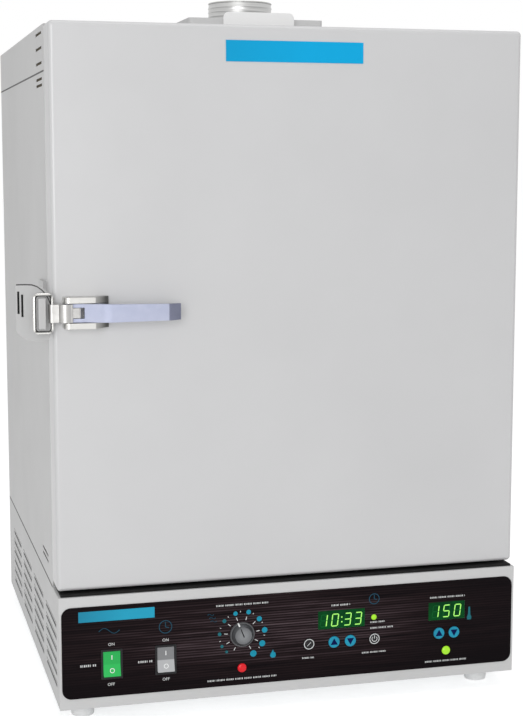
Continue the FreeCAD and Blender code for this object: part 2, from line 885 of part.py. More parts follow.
def make_vent():
    half = S.vent_side / 2
    shell = block("vent_shell", (middle - half, middle + half), (vent_front, vent_front + S.vent_side), (door_top, door_top + S.vent_height))
    soft = fillet("vent_shell_soft", shell, S.vent_corner, lambda edge: along(edge, Z_AXIS))
    gauge = S.vent_gauge
    tools = [
        block(
            "vent_hollow",
            (middle - half + gauge, middle + half - gauge),
            (vent_front + gauge, vent_front + S.vent_side - gauge),
            (door_top - 1, door_top + S.vent_height - gauge),
        ),
        rod("vent_chimney_hole", S.chimney_radius - gauge, (middle, vent_middle, door_top + 5), 40),
        block(
            "vent_damper_slot",
            (middle - S.damper_width / 2 - S.running_gap, middle + S.damper_width / 2 + S.running_gap),
            (vent_front - 5, vent_front + 5),
            (damper_bottom - S.running_gap, damper_bottom + S.damper_gauge + S.running_gap),
        ),
    ]
    keep(cut("vent_cover", soft, tools))

    top = door_top + S.vent_height
    tube = rod("chimney_tube", S.chimney_radius, (middle, vent_middle, top), S.chimney_height)
    bore = rod("chimney_bore", S.chimney_radius - gauge, (middle, vent_middle, top - 1), S.chimney_height + 2)
    keep(cut("vent_chimney", tube, [bore]))

    flue_length = damper_bottom - S.running_gap - chamber_top
    flue = rod("flue_outer", S.flue_radius, (middle, vent_middle, chamber_top), flue_length)
    flue_bore = rod("flue_bore", S.flue_radius - S.flue_wall, (middle, vent_middle, chamber_top - 1), flue_length + 2)
    keep(cut("flue_tube", flue, [flue_bore]))

    rails = []
    for side, sign in (("left", -1), ("right", 1)):
        inner = middle + (S.damper_width / 2 - S.rail_width / 2) * sign
        outer = middle + (S.damper_width / 2 + S.rail_width / 2) * sign
        x = (outer, inner) if sign < 0 else (inner, outer)
        y = (vent_front + 6, vent_front + S.vent_side - 6)
        rail = block(f"rail_{side}_bar", x, y, (door_top, damper_bottom + S.damper_gauge + 3))
        edge = middle + (S.damper_width / 2 + S.running_gap) * sign
        x = (edge, inner - 3) if sign < 0 else (inner - 3, edge)
        groove = block(
            f"rail_{side}_groove",
            x if sign > 0 else (edge, inner + 3),
            (y[0] - 2, y[1] + 2),
            (damper_bottom - S.running_gap / 2, damper_bottom + S.damper_gauge + S.running_gap / 2),
        )
        rails.append(cut(f"rail_{side}", rail, [groove]))
    keep(group("damper_rails", rails))

    # The damper: a flat plate and, bent up at its front, a lip with rounded upper corners
    plate = block(
        "damper_plate",
        (middle - S.damper_width / 2, middle + S.damper_width / 2),
        (vent_front + gauge + 4, vent_middle + S.chimney_radius + 8),
        (damper_bottom, damper_bottom + S.damper_gauge),
    )
    tongue = block(
        "damper_tongue",
        (middle - S.lip_width / 2, middle + S.lip_width / 2),
        (vent_front - S.lip_reach, vent_front + gauge + 5),
        (damper_bottom, damper_bottom + S.damper_gauge),
    )
    lip_half = S.lip_width / 2
    r = S.lip_corner
    lip = pad(
        "damper_lip",
        "XZ",
        S.damper_gauge,
        [
            [
                (-lip_half, Size.of(0)),
                (lip_half, Size.of(0)),
                (lip_half, S.lip_height - r, r),
                (lip_half - r, S.lip_height),
                (r - lip_half, S.lip_height, r),
                (-lip_half, S.lip_height - r),
            ]
        ],
        at=(middle, vent_front - S.lip_reach + S.damper_gauge, damper_bottom),
    )
    keep(fuse("damper_slide", [plate, tongue, lip]))


# Control panel


def make_panel():
    sheet_blank = pad(
        "overlay_blank",
        "XZ",
        S.overlay_thickness,
        [
            rounded(
                (left + S.overlay_inset, right - S.overlay_inset),
                (base_bottom + S.overlay_rise, base_bottom + S.overlay_rise + S.overlay_height),
                S.overlay_corner,
            )
        ],
        at=(0, base_front, 0),
    )
    keep(cut("panel_overlay", sheet_blank, panel_openings("overlay")))

    board_front = base_front + S.board_setback
    for name, x, width in (
        ("timer_display", S.timer_display_x, S.timer_display_width),
        ("temperature_display", S.temperature_display_x, S.temperature_display_width),
    ):
        z = base_bottom + S.timer_display_rise
        half = width / 2 - S.seam / 2
        tall = S.display_height / 2 - S.seam / 2
        keep(block(name, (middle + x - half, middle + x + half), (overlay_front + 0.4, board_front), (z - tall, z + tall)))

    lamps = []
    for name, x, z, radius, depth in (
        ("limit_lamp", S.knob_x, S.limit_lamp_rise, S.lamp_radius, S.board_setback),
        ("heat_lamp", S.heat_lamp_x, S.limit_lamp_rise, S.lamp_radius, S.board_setback),
        ("timer_lamp", S.timer_lamp_x, S.timer_lamp_rise, S.timer_lamp_radius, S.board_setback),
    ):
        stem = rod(f"{name}_stem", radius - S.seam / 2, (middle + x, overlay_front, base_bottom + z), depth + S.overlay_thickness, "Y")
        dome = doc.addObject("Part::Sphere", f"{name}_ball")
        bulge = radius * 1.3
        bind(dome, "Radius", bulge)
        place(dome, middle + x, overlay_front + bulge - radius * 0.45, base_bottom + z)
        lens = doc.addObject("Part::Common", f"{name}_lens")
        lens.Base = dome
        lens.Tool = rod(
            f"{name}_limit",
            radius - S.seam / 2,
            (middle + x, overlay_front - radius, base_bottom + z),
            radius + 1,
            "Y",
        )
        lamps.append(fuse(name, [stem, lens]))
    keep(group("indicator_lamps", lamps))

    board = block(
        "board_plate",
        (middle + S.board_left_x, middle + S.board_right_x),
        (board_front, board_front + S.board_thickness),
        (base_bottom + S.board_rise, base_bottom + S.board_rise + S.board_height),
    )
    posts = []
    for i, x in enumerate((S.board_left_x + 6, S.board_right_x - 6)):
        for j, z in enumerate((S.board_rise + 6, S.board_rise + S.board_height - 6)):
            posts.append(
                rod(
                    f"board_post_{i}_{j}",
                    3,
                    (middle + x, base_front + S.skin, base_bottom + z),
                    S.board_setback - S.skin + S.board_thickness / 2,
                    "Y",
                )
            )
    keep(fuse("control_board", [board] + posts))

    # Keys: a cap in the panel and a stem that ends just short of its contact on the board
    for name, x in KEYS.items():
        z = base_bottom + S.key_rise
        cap = rod(f"{name}_cap", S.key_radius, (middle + x, overlay_front - S.key_proud, z), S.key_proud + 4, "Y")
        stem_length = S.board_setback + S.overlay_thickness - S.key_travel - S.key_gap
        stem = rod(f"{name}_stem", 2, (middle + x, overlay_front, z), stem_length, "Y")
        keep(fuse(name, [cap, stem]))


def make_rockers():
    opening_x = S.rocker_width + 2 * S.seam
    opening_z = S.rocker_height + 4 * S.seam
    bezels = []
    for name, x in (("power_rocker", S.power_rocker_x), ("timer_rocker", S.timer_rocker_x)):
        centre_x = middle + x
        centre_z = base_bottom + S.rocker_rise
        half_x = opening_x / 2 + S.bezel_wall
        half_z = opening_z / 2 + S.bezel_wall
        flange = block(
            f"{name}_flange",
            (centre_x - half_x - 1, centre_x + half_x + 1),
            (overlay_front - S.bezel_lip, overlay_front),
            (centre_z - half_z - 1, centre_z + half_z + 1),
        )
        soft = fillet(f"{name}_flange_soft", flange, S.bezel_lip * 0.8, lambda edge: along(edge, Y_AXIS))
        sleeve = block(
            f"{name}_sleeve",
            (centre_x - half_x + S.seam / 2, centre_x + half_x - S.seam / 2),
            (overlay_front - S.bezel_lip / 2, base_front + S.bezel_depth),
            (centre_z - half_z + S.seam / 2, centre_z + half_z - S.seam / 2),
        )
        hollow = block(
            f"{name}_hollow",
            (centre_x - opening_x / 2, centre_x + opening_x / 2),
            (overlay_front - 8, base_front + S.bezel_depth / 2),
            (centre_z - opening_z / 2, centre_z + opening_z / 2),
        )
        bezels.append(cut(f"{name}_bezel", fuse(f"{name}_case", [soft, sleeve]), [hollow]))

        # The rocker: a shallow V across its face, ends on an arc about the pivot
        tall = S.rocker_height / 2
        outline = [
            (-4.5, -tall),
            (3, 2 - tall),
            (6.5, 7 - tall),
            (6.5, tall - 7),
            (3, tall - 2),
            (-4.5, tall),
            (-2.8, Size.of(0)),
        ]
        body = pad(name, "YZ", S.rocker_width, [outline])
        body.Placement = Placement(Vector(), Rotation(Vector(1, 0, 0), -S.rocker_tilt.value))
        place(body, centre_x - S.rocker_width / 2, base_front + 1, centre_z)
        keep(body)
    keep(group("rocker_bezels", bezels))


def make_knob():
    x = middle + S.knob_x
    z = base_bottom + S.knob_rise
    rear = overlay_front - S.seam
    skirt_depth = S.knob_depth * 0.3
    skirt = cone("knob_skirt", S.knob_radius, S.knob_radius * 0.98, (x, rear, z), skirt_depth)
    skirt.Placement = Placement(skirt.Placement.Base, Rotation(Vector(1, 0, 0), 90))
    place(skirt, x, rear, z)
    grip = cone("knob_grip", S.knob_radius * 0.95, S.knob_face_radius, (x, rear, z), S.knob_depth)
    grip.Placement = Placement(grip.Placement.Base, Rotation(Vector(1, 0, 0), 90))
    place(grip, x, rear, z)
    bore = rod("knob_bore", S.shaft_radius, (x, rear - S.knob_depth * 0.6, z), S.knob_depth, "Y")
    keep(cut("limit_knob", fuse("knob_body", [skirt, grip]), [bore]))

    shaft_start = rear - S.knob_depth * 0.6
    keep(rod("knob_shaft", S.shaft_radius, (x, shaft_start, z), base_front + S.skin + 3 - shaft_start, "Y"))
    case_front = base_front + S.skin
    case = rod("thermostat_case", S.thermostat_radius, (x, case_front, z), S.thermostat_depth, "Y")
    socket = rod("thermostat_socket", S.shaft_radius + S.pin_clearance, (x, case_front - 1, z), 5, "Y")
    keep(cut("limit_thermostat", case, [socket]))


def make_power_parts():
    floor = base_bottom + S.skin
    x = right - S.inlet_setback
    relay_right = x - S.relay_width * 0.55
    relay_back = back - S.relay_setback
    keep(
        block(
            "power_relay",
            (relay_right - S.relay_width, relay_right),
            (relay_back - S.relay_depth, relay_back),
            (floor, floor + S.relay_height),
        )
    )
    z = base_bottom + S.inlet_rise
    flange = block("inlet_flange", (x - 25, x + 25), (back, back + 3), (z - 13, z + 13))
    shell = block("inlet_shell", (x - 13.7, x + 13.7), (back - 22, back + 1), (z - 9.7, z + 9.7))
    socket = block("inlet_socket", (x - 11.5, x + 11.5), (back - 16, back + 5), (z - 7.5, z + 7.5))
    body = cut("inlet_body", fuse("inlet_block", [flange, shell]), [socket])
    blades = [
        block(f"inlet_blade_{i}", (x + dx - 1, x + dx + 1), (back - 17, back - 1), (z + dz - 2, z + dz + 2))
        for i, (dx, dz) in enumerate(((-7, -2), (0, 2), (7, -2)))
    ]
    keep(fuse("power_inlet", [body] + blades))


# Door


def pan_block(name, inset, y, radius):
    """A block with its front edges rounded, inset from the outline of the door."""
    solid = block(f"{name}_block", (left + inset, right - inset), y, (door_bottom + inset, door_top - inset))
    face = Size.of(y[0]).value

    def on_front(edge):
        return all(abs(vertex.Point.y - face) < 0.001 for vertex in edge.Vertexes)

    return fillet(name, solid, radius, lambda edge: on_front(edge) or along(edge, Y_AXIS))


def make_door():
    outer = pan_block("door_shell", Size.of(0), (front, door_back), S.door_edge_radius)
    inner = pan_block(
        "door_hollow", S.skin, (front + S.skin, door_back + 5), S.door_edge_radius - S.skin
    )
    keep(cut("door_outer_pan", outer, [inner]))

    inset = S.skin + S.seam
    radius = S.door_edge_radius - S.skin - S.seam
    liner = block(
        "door_liner",
        (left + inset, right - inset),
        (door_back - S.skin, door_back),
        (door_bottom + inset, door_top - inset),
    )
    keep(fillet("door_inner_panel", liner, radius, lambda edge: along(edge, Y_AXIS)))
    keep(
        block(
            "door_insulation",
            (left + S.door_edge_radius, right - S.door_edge_radius),
            (front + S.skin + S.seam, door_back - S.skin - S.seam),
            (door_bottom + S.door_edge_radius, door_top - S.door_edge_radius),
        )
    )

    inset = S.gasket_inset
    width = S.gasket_width
    outer_ring = rounded((left + inset, right - inset), (door_bottom + inset, door_top - inset), width * 1.5)
    inset = inset + width
    inner_ring = rounded((left + inset, right - inset), (door_bottom + inset, door_top - inset), width * 0.5)
    depth = S.door_seam - S.gasket_clearance
    keep(pad("door_gasket", "XZ", depth, [outer_ring, inner_ring], at=(0, door_back + depth, 0)))

    top = door_top - S.badge_drop
    keep(
        block(
            "door_badge",
            (middle + 1 - S.badge_width / 2, middle + 1 + S.badge_width / 2),
            (front - S.badge_thickness, front),
            (top - S.badge_height, top),
        )
    )


# Hinges

hinge_x = right + S.hinge_reach
hinge_y = door_back + S.door_seam / 2


def make_hinges():
    door_leaves, cabinet_leaves, pins = [], [], []
    starts = {"low": door_bottom + S.hinge_inset, "high": door_top - S.hinge_inset - S.hinge_height}
    third = S.hinge_height / 3
    for name, z in starts.items():
        plate_end = hinge_y - S.knuckle_radius
        door_plate = block(
            f"{name}_door_plate",
            (right, right + S.hinge_leaf),
            (plate_end - S.hinge_leaf_width, plate_end),
            (z, z + S.hinge_height),
        )
        knuckle_z = (z + third + S.seam, z + third * 2 - S.seam)
        web = block(f"{name}_door_web", (right, right + S.hinge_leaf), (plate_end - 1, hinge_y), knuckle_z)
        roll = rod(f"{name}_door_roll", S.knuckle_radius, (hinge_x, hinge_y, knuckle_z[0]), knuckle_z[1] - knuckle_z[0])
        bore = rod(f"{name}_door_bore", S.hinge_pin_radius + S.pin_clearance, (hinge_x, hinge_y, z - 1), S.hinge_height + 2)
        door_leaves.append(cut(f"{name}_door_leaf", fuse(f"{name}_door_solid", [door_plate, web, roll]), [bore]))

        plate_start = hinge_y + S.knuckle_radius
        pieces = [
            block(
                f"{name}_cabinet_plate",
                (right, right + S.hinge_leaf),
                (plate_start, plate_start + S.hinge_leaf_width),
                (z, z + S.hinge_height),
            )
        ]
        for index, start in enumerate((z, z + third * 2)):
            span = (start, start + third)
            pieces.append(
                block(f"{name}_cabinet_web_{index}", (right, right + S.hinge_leaf), (hinge_y, plate_start + 1), span)
            )
            pieces.append(rod(f"{name}_cabinet_roll_{index}", S.knuckle_radius, (hinge_x, hinge_y, start), third))
        bore = rod(f"{name}_cabinet_bore", S.hinge_pin_radius, (hinge_x, hinge_y, z - 1), S.hinge_height + 2)
        cabinet_leaves.append(cut(f"{name}_cabinet_leaf", fuse(f"{name}_cabinet_solid", pieces), [bore]))

        stem = rod(f"{name}_pin_stem", S.hinge_pin_radius, (hinge_x, hinge_y, z - 2), S.hinge_height + 4)
        heads = [
            rod(f"{name}_pin_head_{index}", S.hinge_pin_head, (hinge_x, hinge_y, start), 2)
            for index, start in enumerate((z - 2, z + S.hinge_height))
        ]
        pins.append(fuse(f"{name}_hinge_pin", [stem] + heads))
    keep(group("hinge_door_leaves", door_leaves))
    keep(group("hinge_cabinet_leaves", cabinet_leaves))
    keep(group("hinge_pins", pins))


# Latch: base, lever, link and ring

latch_z = base_bottom + S.latch_rise
pivot_x = left + S.pivot_inset
pivot_y = front - S.pivot_reach
link_x = pivot_x + S.crank
eye_x = link_x - S.eye_reach


def make_latch_base():
    half = S.latch_base_height / 2
    base_left = left + S.latch_base_left
    x0 = base_left - pivot_x
    x1 = x0 + S.latch_base_length
    # Ear, seen from above, about the pivot: a round nose, then a slope down to the door
    nose = S.latch_base_left * 0.5
    ear_front = -S.ear_front
    outline = [
        (x0, S.pivot_reach),
        (x0, ear_front + nose, nose),
        (x0 + nose, ear_front),
        (x1 - 17, ear_front),
        (x1, S.pivot_reach - S.latch_plate),
        (x1, S.pivot_reach),
    ]
    pieces = []
    for name, z in (("low", latch_z - half), ("high", latch_z + half - S.latch_ear)):
        pieces.append(pad(f"latch_ear_{name}", "XY", S.latch_ear, [outline], at=(pivot_x, pivot_y, z)))
    plate = block(
        "latch_back_plate",
        (base_left, base_left + S.latch_base_length),
        (front - S.latch_plate, front),
        (latch_z - half, latch_z + half),
    )
    solid = fuse("latch_base_solid", [plate] + pieces)
    bore = rod("latch_base_bore", S.pin_radius, (pivot_x, pivot_y, latch_z - half - 1), S.latch_base_height + 2)
    keep(cut("latch_base", solid, [bore]))

    # Short pivots at the top and bottom, so that the link swings freely between them
    pins = []
    inner = S.lever_height / 2 - S.lever_lug
    for name, z in (("low", latch_z - half), ("high", latch_z + inner)):
        pins.append(rod(f"lever_pivot_{name}", S.pin_radius, (pivot_x, pivot_y, z), half - inner))
    keep(group("lever_pivot_pins", pins))

    screws = []
    for index, x in enumerate((base_left + S.latch_base_length * 0.5, base_left + S.latch_base_length * 0.84)):
        for side in (-1, 1):
            if index == 0 or side > 0:
                z = latch_z + (side * 5 if index == 0 else 0)
                screws.append(rod(f"latch_screw_{index}_{side}", 3, (x, front - S.latch_plate - 1, z), 1, "Y"))
    keep(group("latch_screws", screws))


def make_lever():
    tall = S.lever_height
    gauge = S.lever_gauge
    lug = S.lug_radius
    # The handle, seen from above, about the link pin: root, sweep to the front, grip, turned-in tip
    root = lug + 1.2
    rise_x = root + (S.lever_reach - gauge) * 2
    front_y = -S.lever_reach
    end = S.lever_length
    handle = [
        (root, -gauge * 0.95),
        (rise_x - 5.35, front_y + 2.73, 25),
        (rise_x + 6, front_y),
        (end - 14, front_y),
        (end - 2, front_y + 7),
        (end - 3.5, front_y + 7 + gauge * 0.6),
        (end - 16, front_y + gauge),
        (rise_x + 4, front_y + gauge),
        (root + 9, gauge * 0.8),
        (root, gauge * 0.8),
    ]
    grip = pad("lever_handle", "XY", tall, [handle], at=(link_x, pivot_y, latch_z - tall / 2))
    lugs = []
    for name, z in (("low", latch_z - tall / 2), ("high", latch_z + tall / 2 - S.lever_lug)):
        outline = [
            (-S.crank, -lug),
            (root + 2, -lug),
            (root + 2, lug * 0.83),
            (Size.of(0), lug),
            (-S.crank, lug, lug),
            (-S.crank - lug, Size.of(0), lug),
        ]
        lugs.append(pad(f"lever_lug_{name}", "XY", S.lever_lug, [outline], at=(link_x, pivot_y, z)))
    solid = fuse("lever_solid", [grip] + lugs)
    wedges = []
    for name, side in (("low", -1), ("high", 1)):
        edge = S.lever_height / 2 * side
        beyond = (S.lever_height / 2 + 1) * side
        slope = [
            (root + 10, edge),
            (end + 1, (S.lever_height / 2 - S.lever_taper) * side),
            (end + 1, beyond),
            (root + 10, beyond),
        ]
        if side > 0:
            slope = slope[::-1]
        wedges.append(
            pad(f"lever_wedge_{name}", "XZ", S.lever_reach * 3, [slope], at=(link_x, pivot_y + S.lever_reach, latch_z))
        )
    bores = [
        rod("lever_pivot_bore", S.pin_radius + S.pin_clearance, (pivot_x, pivot_y, latch_z - tall), tall * 2),
        rod("lever_link_bore", S.pin_radius, (link_x, pivot_y, latch_z - tall), tall * 2),
    ]
    keep(cut("latch_lever", solid, bores + wedges))
    keep(rod("link_pin", S.pin_radius, (link_x, pivot_y, latch_z - tall / 2), tall))


def make_link():
    tall = S.lever_height
    lug = S.lug_radius
    reach = S.eye_reach
    eye = S.eye_radius
    # Full-height shell, seen from above, about the link pin: it bulges to the front past the pivot
    shell_right = -7.5
    inner_x = -(S.crank + lug + 1.4)
    shell = [
        (inner_x, eye),
        (-reach, eye, eye),
        (-reach - eye, Size.of(0), eye),
        (-reach, -eye),
        (-reach + 7, -eye - 0.2, 8),
        (-reach + 14.5, -9.5, 8),
        (-9.9, -7.7),
        (shell_right, -7.7),
        (shell_right, -lug - S.link_play - 0.6),
        (inner_x, -lug - S.link_play - 0.6),
    ]
    body = pad("link_shell", "XY", tall, [shell], at=(link_x, pivot_y, latch_z - tall / 2))
    thick = tall - 2 * S.lever_lug - 2 * S.link_play
    tongue = pad(
        "link_tongue",
        "XY",
        thick,
        [
            [
                (inner_x - 2, -eye),
                (Size.of(0), -eye, eye),
                (eye, Size.of(0), eye),
                (Size.of(0), eye),
                (inner_x - 2, eye),
            ]
        ],
        at=(link_x, pivot_y, latch_z - thick / 2),
    )
    bores = [
        rod("link_pin_bore", S.pin_radius + S.pin_clearance, (link_x, pivot_y, latch_z - tall), tall * 2),
        rod("link_eye_bore", S.ring_wire + S.pin_clearance, (eye_x, pivot_y, latch_z - tall), tall * 2),
    ]
    keep(cut("latch_link", fuse("link_solid", [body, tongue]), bores))


def make_ring():
    """A closed wire ring, its near side held in the eye of the link."""
    x1, y, z = eye_x.value, pivot_y.value, latch_z.value
    x0 = x1 - S.ring_width.value
    half = S.ring_height.value / 2
    r = S.ring_corner.value
    turn = r * (1 - math.sqrt(0.5))

    def corner(first, mid, last):
        return Part.Arc(Vector(*first), Vector(*mid), Vector(*last)).toShape()

    def line(first, last):
        return Part.LineSegment(Vector(*first), Vector(*last)).toShape()

    low, high = z - half, z + half
    path = [
        line((x1, y, z), (x1, y, high - r)),
        corner((x1, y, high - r), (x1 - turn, y, high - turn), (x1 - r, y, high)),
        line((x1 - r, y, high), (x0 + r, y, high)),
        corner((x0 + r, y, high), (x0 + turn, y, high - turn), (x0, y, high - r)),
        line((x0, y, high - r), (x0, y, low + r)),
        corner((x0, y, low + r), (x0 + turn, y, low + turn), (x0 + r, y, low)),
        line((x0 + r, y, low), (x1 - r, y, low)),
        corner((x1 - r, y, low), (x1 - turn, y, low + turn), (x1, y, low + r)),
        line((x1, y, low + r), (x1, y, z)),
    ]
    section = Part.Wire(Part.Circle(Vector(x1, y, z), Vector(0, 0, 1), S.ring_wire.value).toShape())
    ring = doc.addObject("Part::Feature", "latch_ring")
    ring.Shape = Part.Wire(path).makePipeShell([section], True, True)
    keep(ring)


def make_keeper():
    """The bracket on the side of the cabinet, whose nose stands inside the ring."""
    gauge = S.keeper_gauge
    inner = left - S.keeper_clearance
    half = S.keeper_height / 2
    plate_y = front + S.keeper_plate_setback
    low, high = latch_z - half, latch_z + half
    foot_start = cabinet_front + 4
    foot = block("keeper_foot_plate", (inner - gauge, left), (foot_start, foot_start + S.keeper_foot), (low, high))
    arm = block("keeper_arm", (inner - gauge, inner), (plate_y, foot_start + 1), (low + 8, high - 12))
    # Face plate: a level top at the far side, curving down towards the door
    reach = S.keeper_reach
    near = S.keeper_clearance
    face = pad(
        "keeper_face",
        "XZ",
        gauge,
        [
            [
                (-reach, low + 10),
                (-reach + 10, low),
                (-near - 4, low),
                (-near, low + 8),
                (-near, high - 14, 24),
                (-reach + 20, high),
                (-reach, high),
            ]
        ],
        at=(left, plate_y + gauge, 0),
    )
    nose_right = eye_x - S.eye_radius - 3
    nose = block(
        "keeper_nose",
        (nose_right - S.nose_width, nose_right),
        (pivot_y - S.nose_reach, plate_y + 1),
        (latch_z - S.nose_height / 2, latch_z + S.nose_height / 2),
    )
    nose_face = (pivot_y - S.nose_reach).value
    soft_nose = fillet(
        "keeper_nose_soft",
        nose,
        Size.of(1.5),
        lambda edge: all(abs(vertex.Point.y - nose_face) < 0.001 for vertex in edge.Vertexes),
    )
    solid = fuse("keeper_solid", [foot, arm, face, soft_nose])
    slots = [
        block(
            f"keeper_slot_{i}",
            (left - reach + x, left - reach + x + 2.4),
            (plate_y - 4, plate_y + 8),
            (latch_z + z, latch_z + z + 25),
        )
        for i, (x, z) in enumerate(((1.6, -1), (5.8, -4.5)))
    ]
    keep(cut("latch_keeper", solid, slots))
    screws = []
    for index, z in enumerate((latch_z - half * 0.55, latch_z + half * 0.55)):
        screws.append(
            rod(f"keeper_screw_{index}", 4, (inner - gauge - 2, foot_start + S.keeper_foot * 0.6, z), 2, "X")
        )
    keep(group("keeper_screws", screws))


make_base()
make_floor_and_feet()
make_cabinet()
make_chamber()
make_shelves()
make_heater()
make_vent()
make_panel()
make_rockers()
make_knob()
make_power_parts()
make_door()
make_hinges()
make_latch_base()
make_lever()
make_link()
make_ring()
make_keeper()
doc.recompute()

# Every object is sound before anything is written
for item in doc.Objects:
    if any(state in ("Invalid", "Error") for state in item.State):
        raise SystemExit(f"{item.Name} failed: {item.State}")
for item in kept:
    if item.Shape.isNull() or not item.Shape.isValid():
        raise SystemExit(f"{item.Name} has no valid shape")

os.makedirs("parts", exist_ok=True)
for item in kept:
    item.Label = item.Name
    item.Shape.exportStep(f"parts/{item.Label}.step")
print(f"{len(kept)} sub-parts written")
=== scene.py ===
"""Looks of the gravity convection oven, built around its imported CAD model."""

import json
import logging
import math
from dataclasses import dataclass
from enum import Enum
from typing import Iterable, Iterator, Sequence

import bmesh
import bpy
from mathutils import Matrix, Vector

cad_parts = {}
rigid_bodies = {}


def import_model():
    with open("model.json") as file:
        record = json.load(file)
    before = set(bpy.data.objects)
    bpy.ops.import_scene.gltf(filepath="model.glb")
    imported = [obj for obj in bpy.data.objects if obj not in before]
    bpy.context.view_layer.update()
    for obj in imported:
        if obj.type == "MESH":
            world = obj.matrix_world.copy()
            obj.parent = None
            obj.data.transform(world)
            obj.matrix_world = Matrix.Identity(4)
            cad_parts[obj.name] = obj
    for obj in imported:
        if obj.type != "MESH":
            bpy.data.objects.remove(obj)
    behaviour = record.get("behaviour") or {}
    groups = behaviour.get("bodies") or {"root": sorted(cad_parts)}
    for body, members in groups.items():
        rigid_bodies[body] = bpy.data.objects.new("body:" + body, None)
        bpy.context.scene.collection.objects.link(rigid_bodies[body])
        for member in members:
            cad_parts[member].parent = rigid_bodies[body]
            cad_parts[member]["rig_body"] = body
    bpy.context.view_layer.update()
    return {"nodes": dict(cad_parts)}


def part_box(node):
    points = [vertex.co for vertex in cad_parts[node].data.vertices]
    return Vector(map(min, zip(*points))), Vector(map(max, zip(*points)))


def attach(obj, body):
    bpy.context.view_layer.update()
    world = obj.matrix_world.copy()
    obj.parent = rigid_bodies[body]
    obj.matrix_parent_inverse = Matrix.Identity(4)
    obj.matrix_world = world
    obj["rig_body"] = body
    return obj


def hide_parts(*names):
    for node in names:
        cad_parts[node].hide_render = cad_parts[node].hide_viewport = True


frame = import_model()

log = logging.getLogger("oven")

MM = 0.001
Point = tuple[float, float, float]
Spot = tuple[float, float]
Colour = tuple[float, float, float, float]
Socket = bpy.types.NodeSocket
Inputs = dict[str | int, object]
Vert = bmesh.types.BMVert
Edge = bmesh.types.BMEdge

# Places of the CAD model in millimetres, in the row frame
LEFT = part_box("base_housing")[0].x / MM
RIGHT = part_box("base_housing")[1].x / MM
MIDDLE = (LEFT + RIGHT) / 2
FRONT = -263.5
BACK = 293.5
BASE_FRONT = -272.0
OVERLAY = -272.8
BASE_BOTTOM = 20.0
BASE_TOP = 152.0
CABINET_FRONT = -219.5
LATCH_Z = 477.5

# Ends of a tint that uses its whole pattern
WHOLE = (0.0, 1.0)


class Axis(Enum):
    """The main axis that a turned shape stands along, as the turn from upright."""

    Y = Matrix.Rotation(-math.pi / 2, 4, "X")
    Z = Matrix.Identity(4)


def linear(code: str) -> Colour:
    """Turns an sRGB hex colour into the linear colour that Blender works in.

    Args:
        code: Six hex digits, such as "D2D2D0".

    Returns:
        Linear red, green and blue, and an alpha of 1.
    """
    parts = [int(code[i : i + 2], 16) / 255 for i in (0, 2, 4)]
    flat = [c / 12.92 if c <= 0.04045 else ((c + 0.055) / 1.055) ** 2.4 for c in parts]
    return (*flat, 1.0)


def grey(level: float) -> Colour:
    """A plain linear grey."""
    return (level, level, level, 1.0)


def per_mm(size: float) -> float:
    """Gives a texture's Scale on Object coordinates for features of a size in millimetres."""
    return 1000.0 / size


def add_node(
    tree: bpy.types.NodeTree, kind: str, inputs: Inputs | None = None, **settings: object
) -> bpy.types.Node:
    """Adds a node to a tree, with its settings, values and links.

    Args:
        tree: Node tree of a material or a world.
        kind: Blender's name of the node type, without "ShaderNode".
        inputs: Socket name or number to a value, or to an output socket that it is linked from.
        settings: Attributes of the node.

    Returns:
        The new node.
    """
    node = tree.nodes.new("ShaderNode" + kind)
    for name, value in settings.items():
        setattr(node, name, value)
    for key, value in (inputs or {}).items():
        if isinstance(value, Socket):
            tree.links.new(value, node.inputs[key])
        else:
            node.inputs[key].default_value = value
    return node


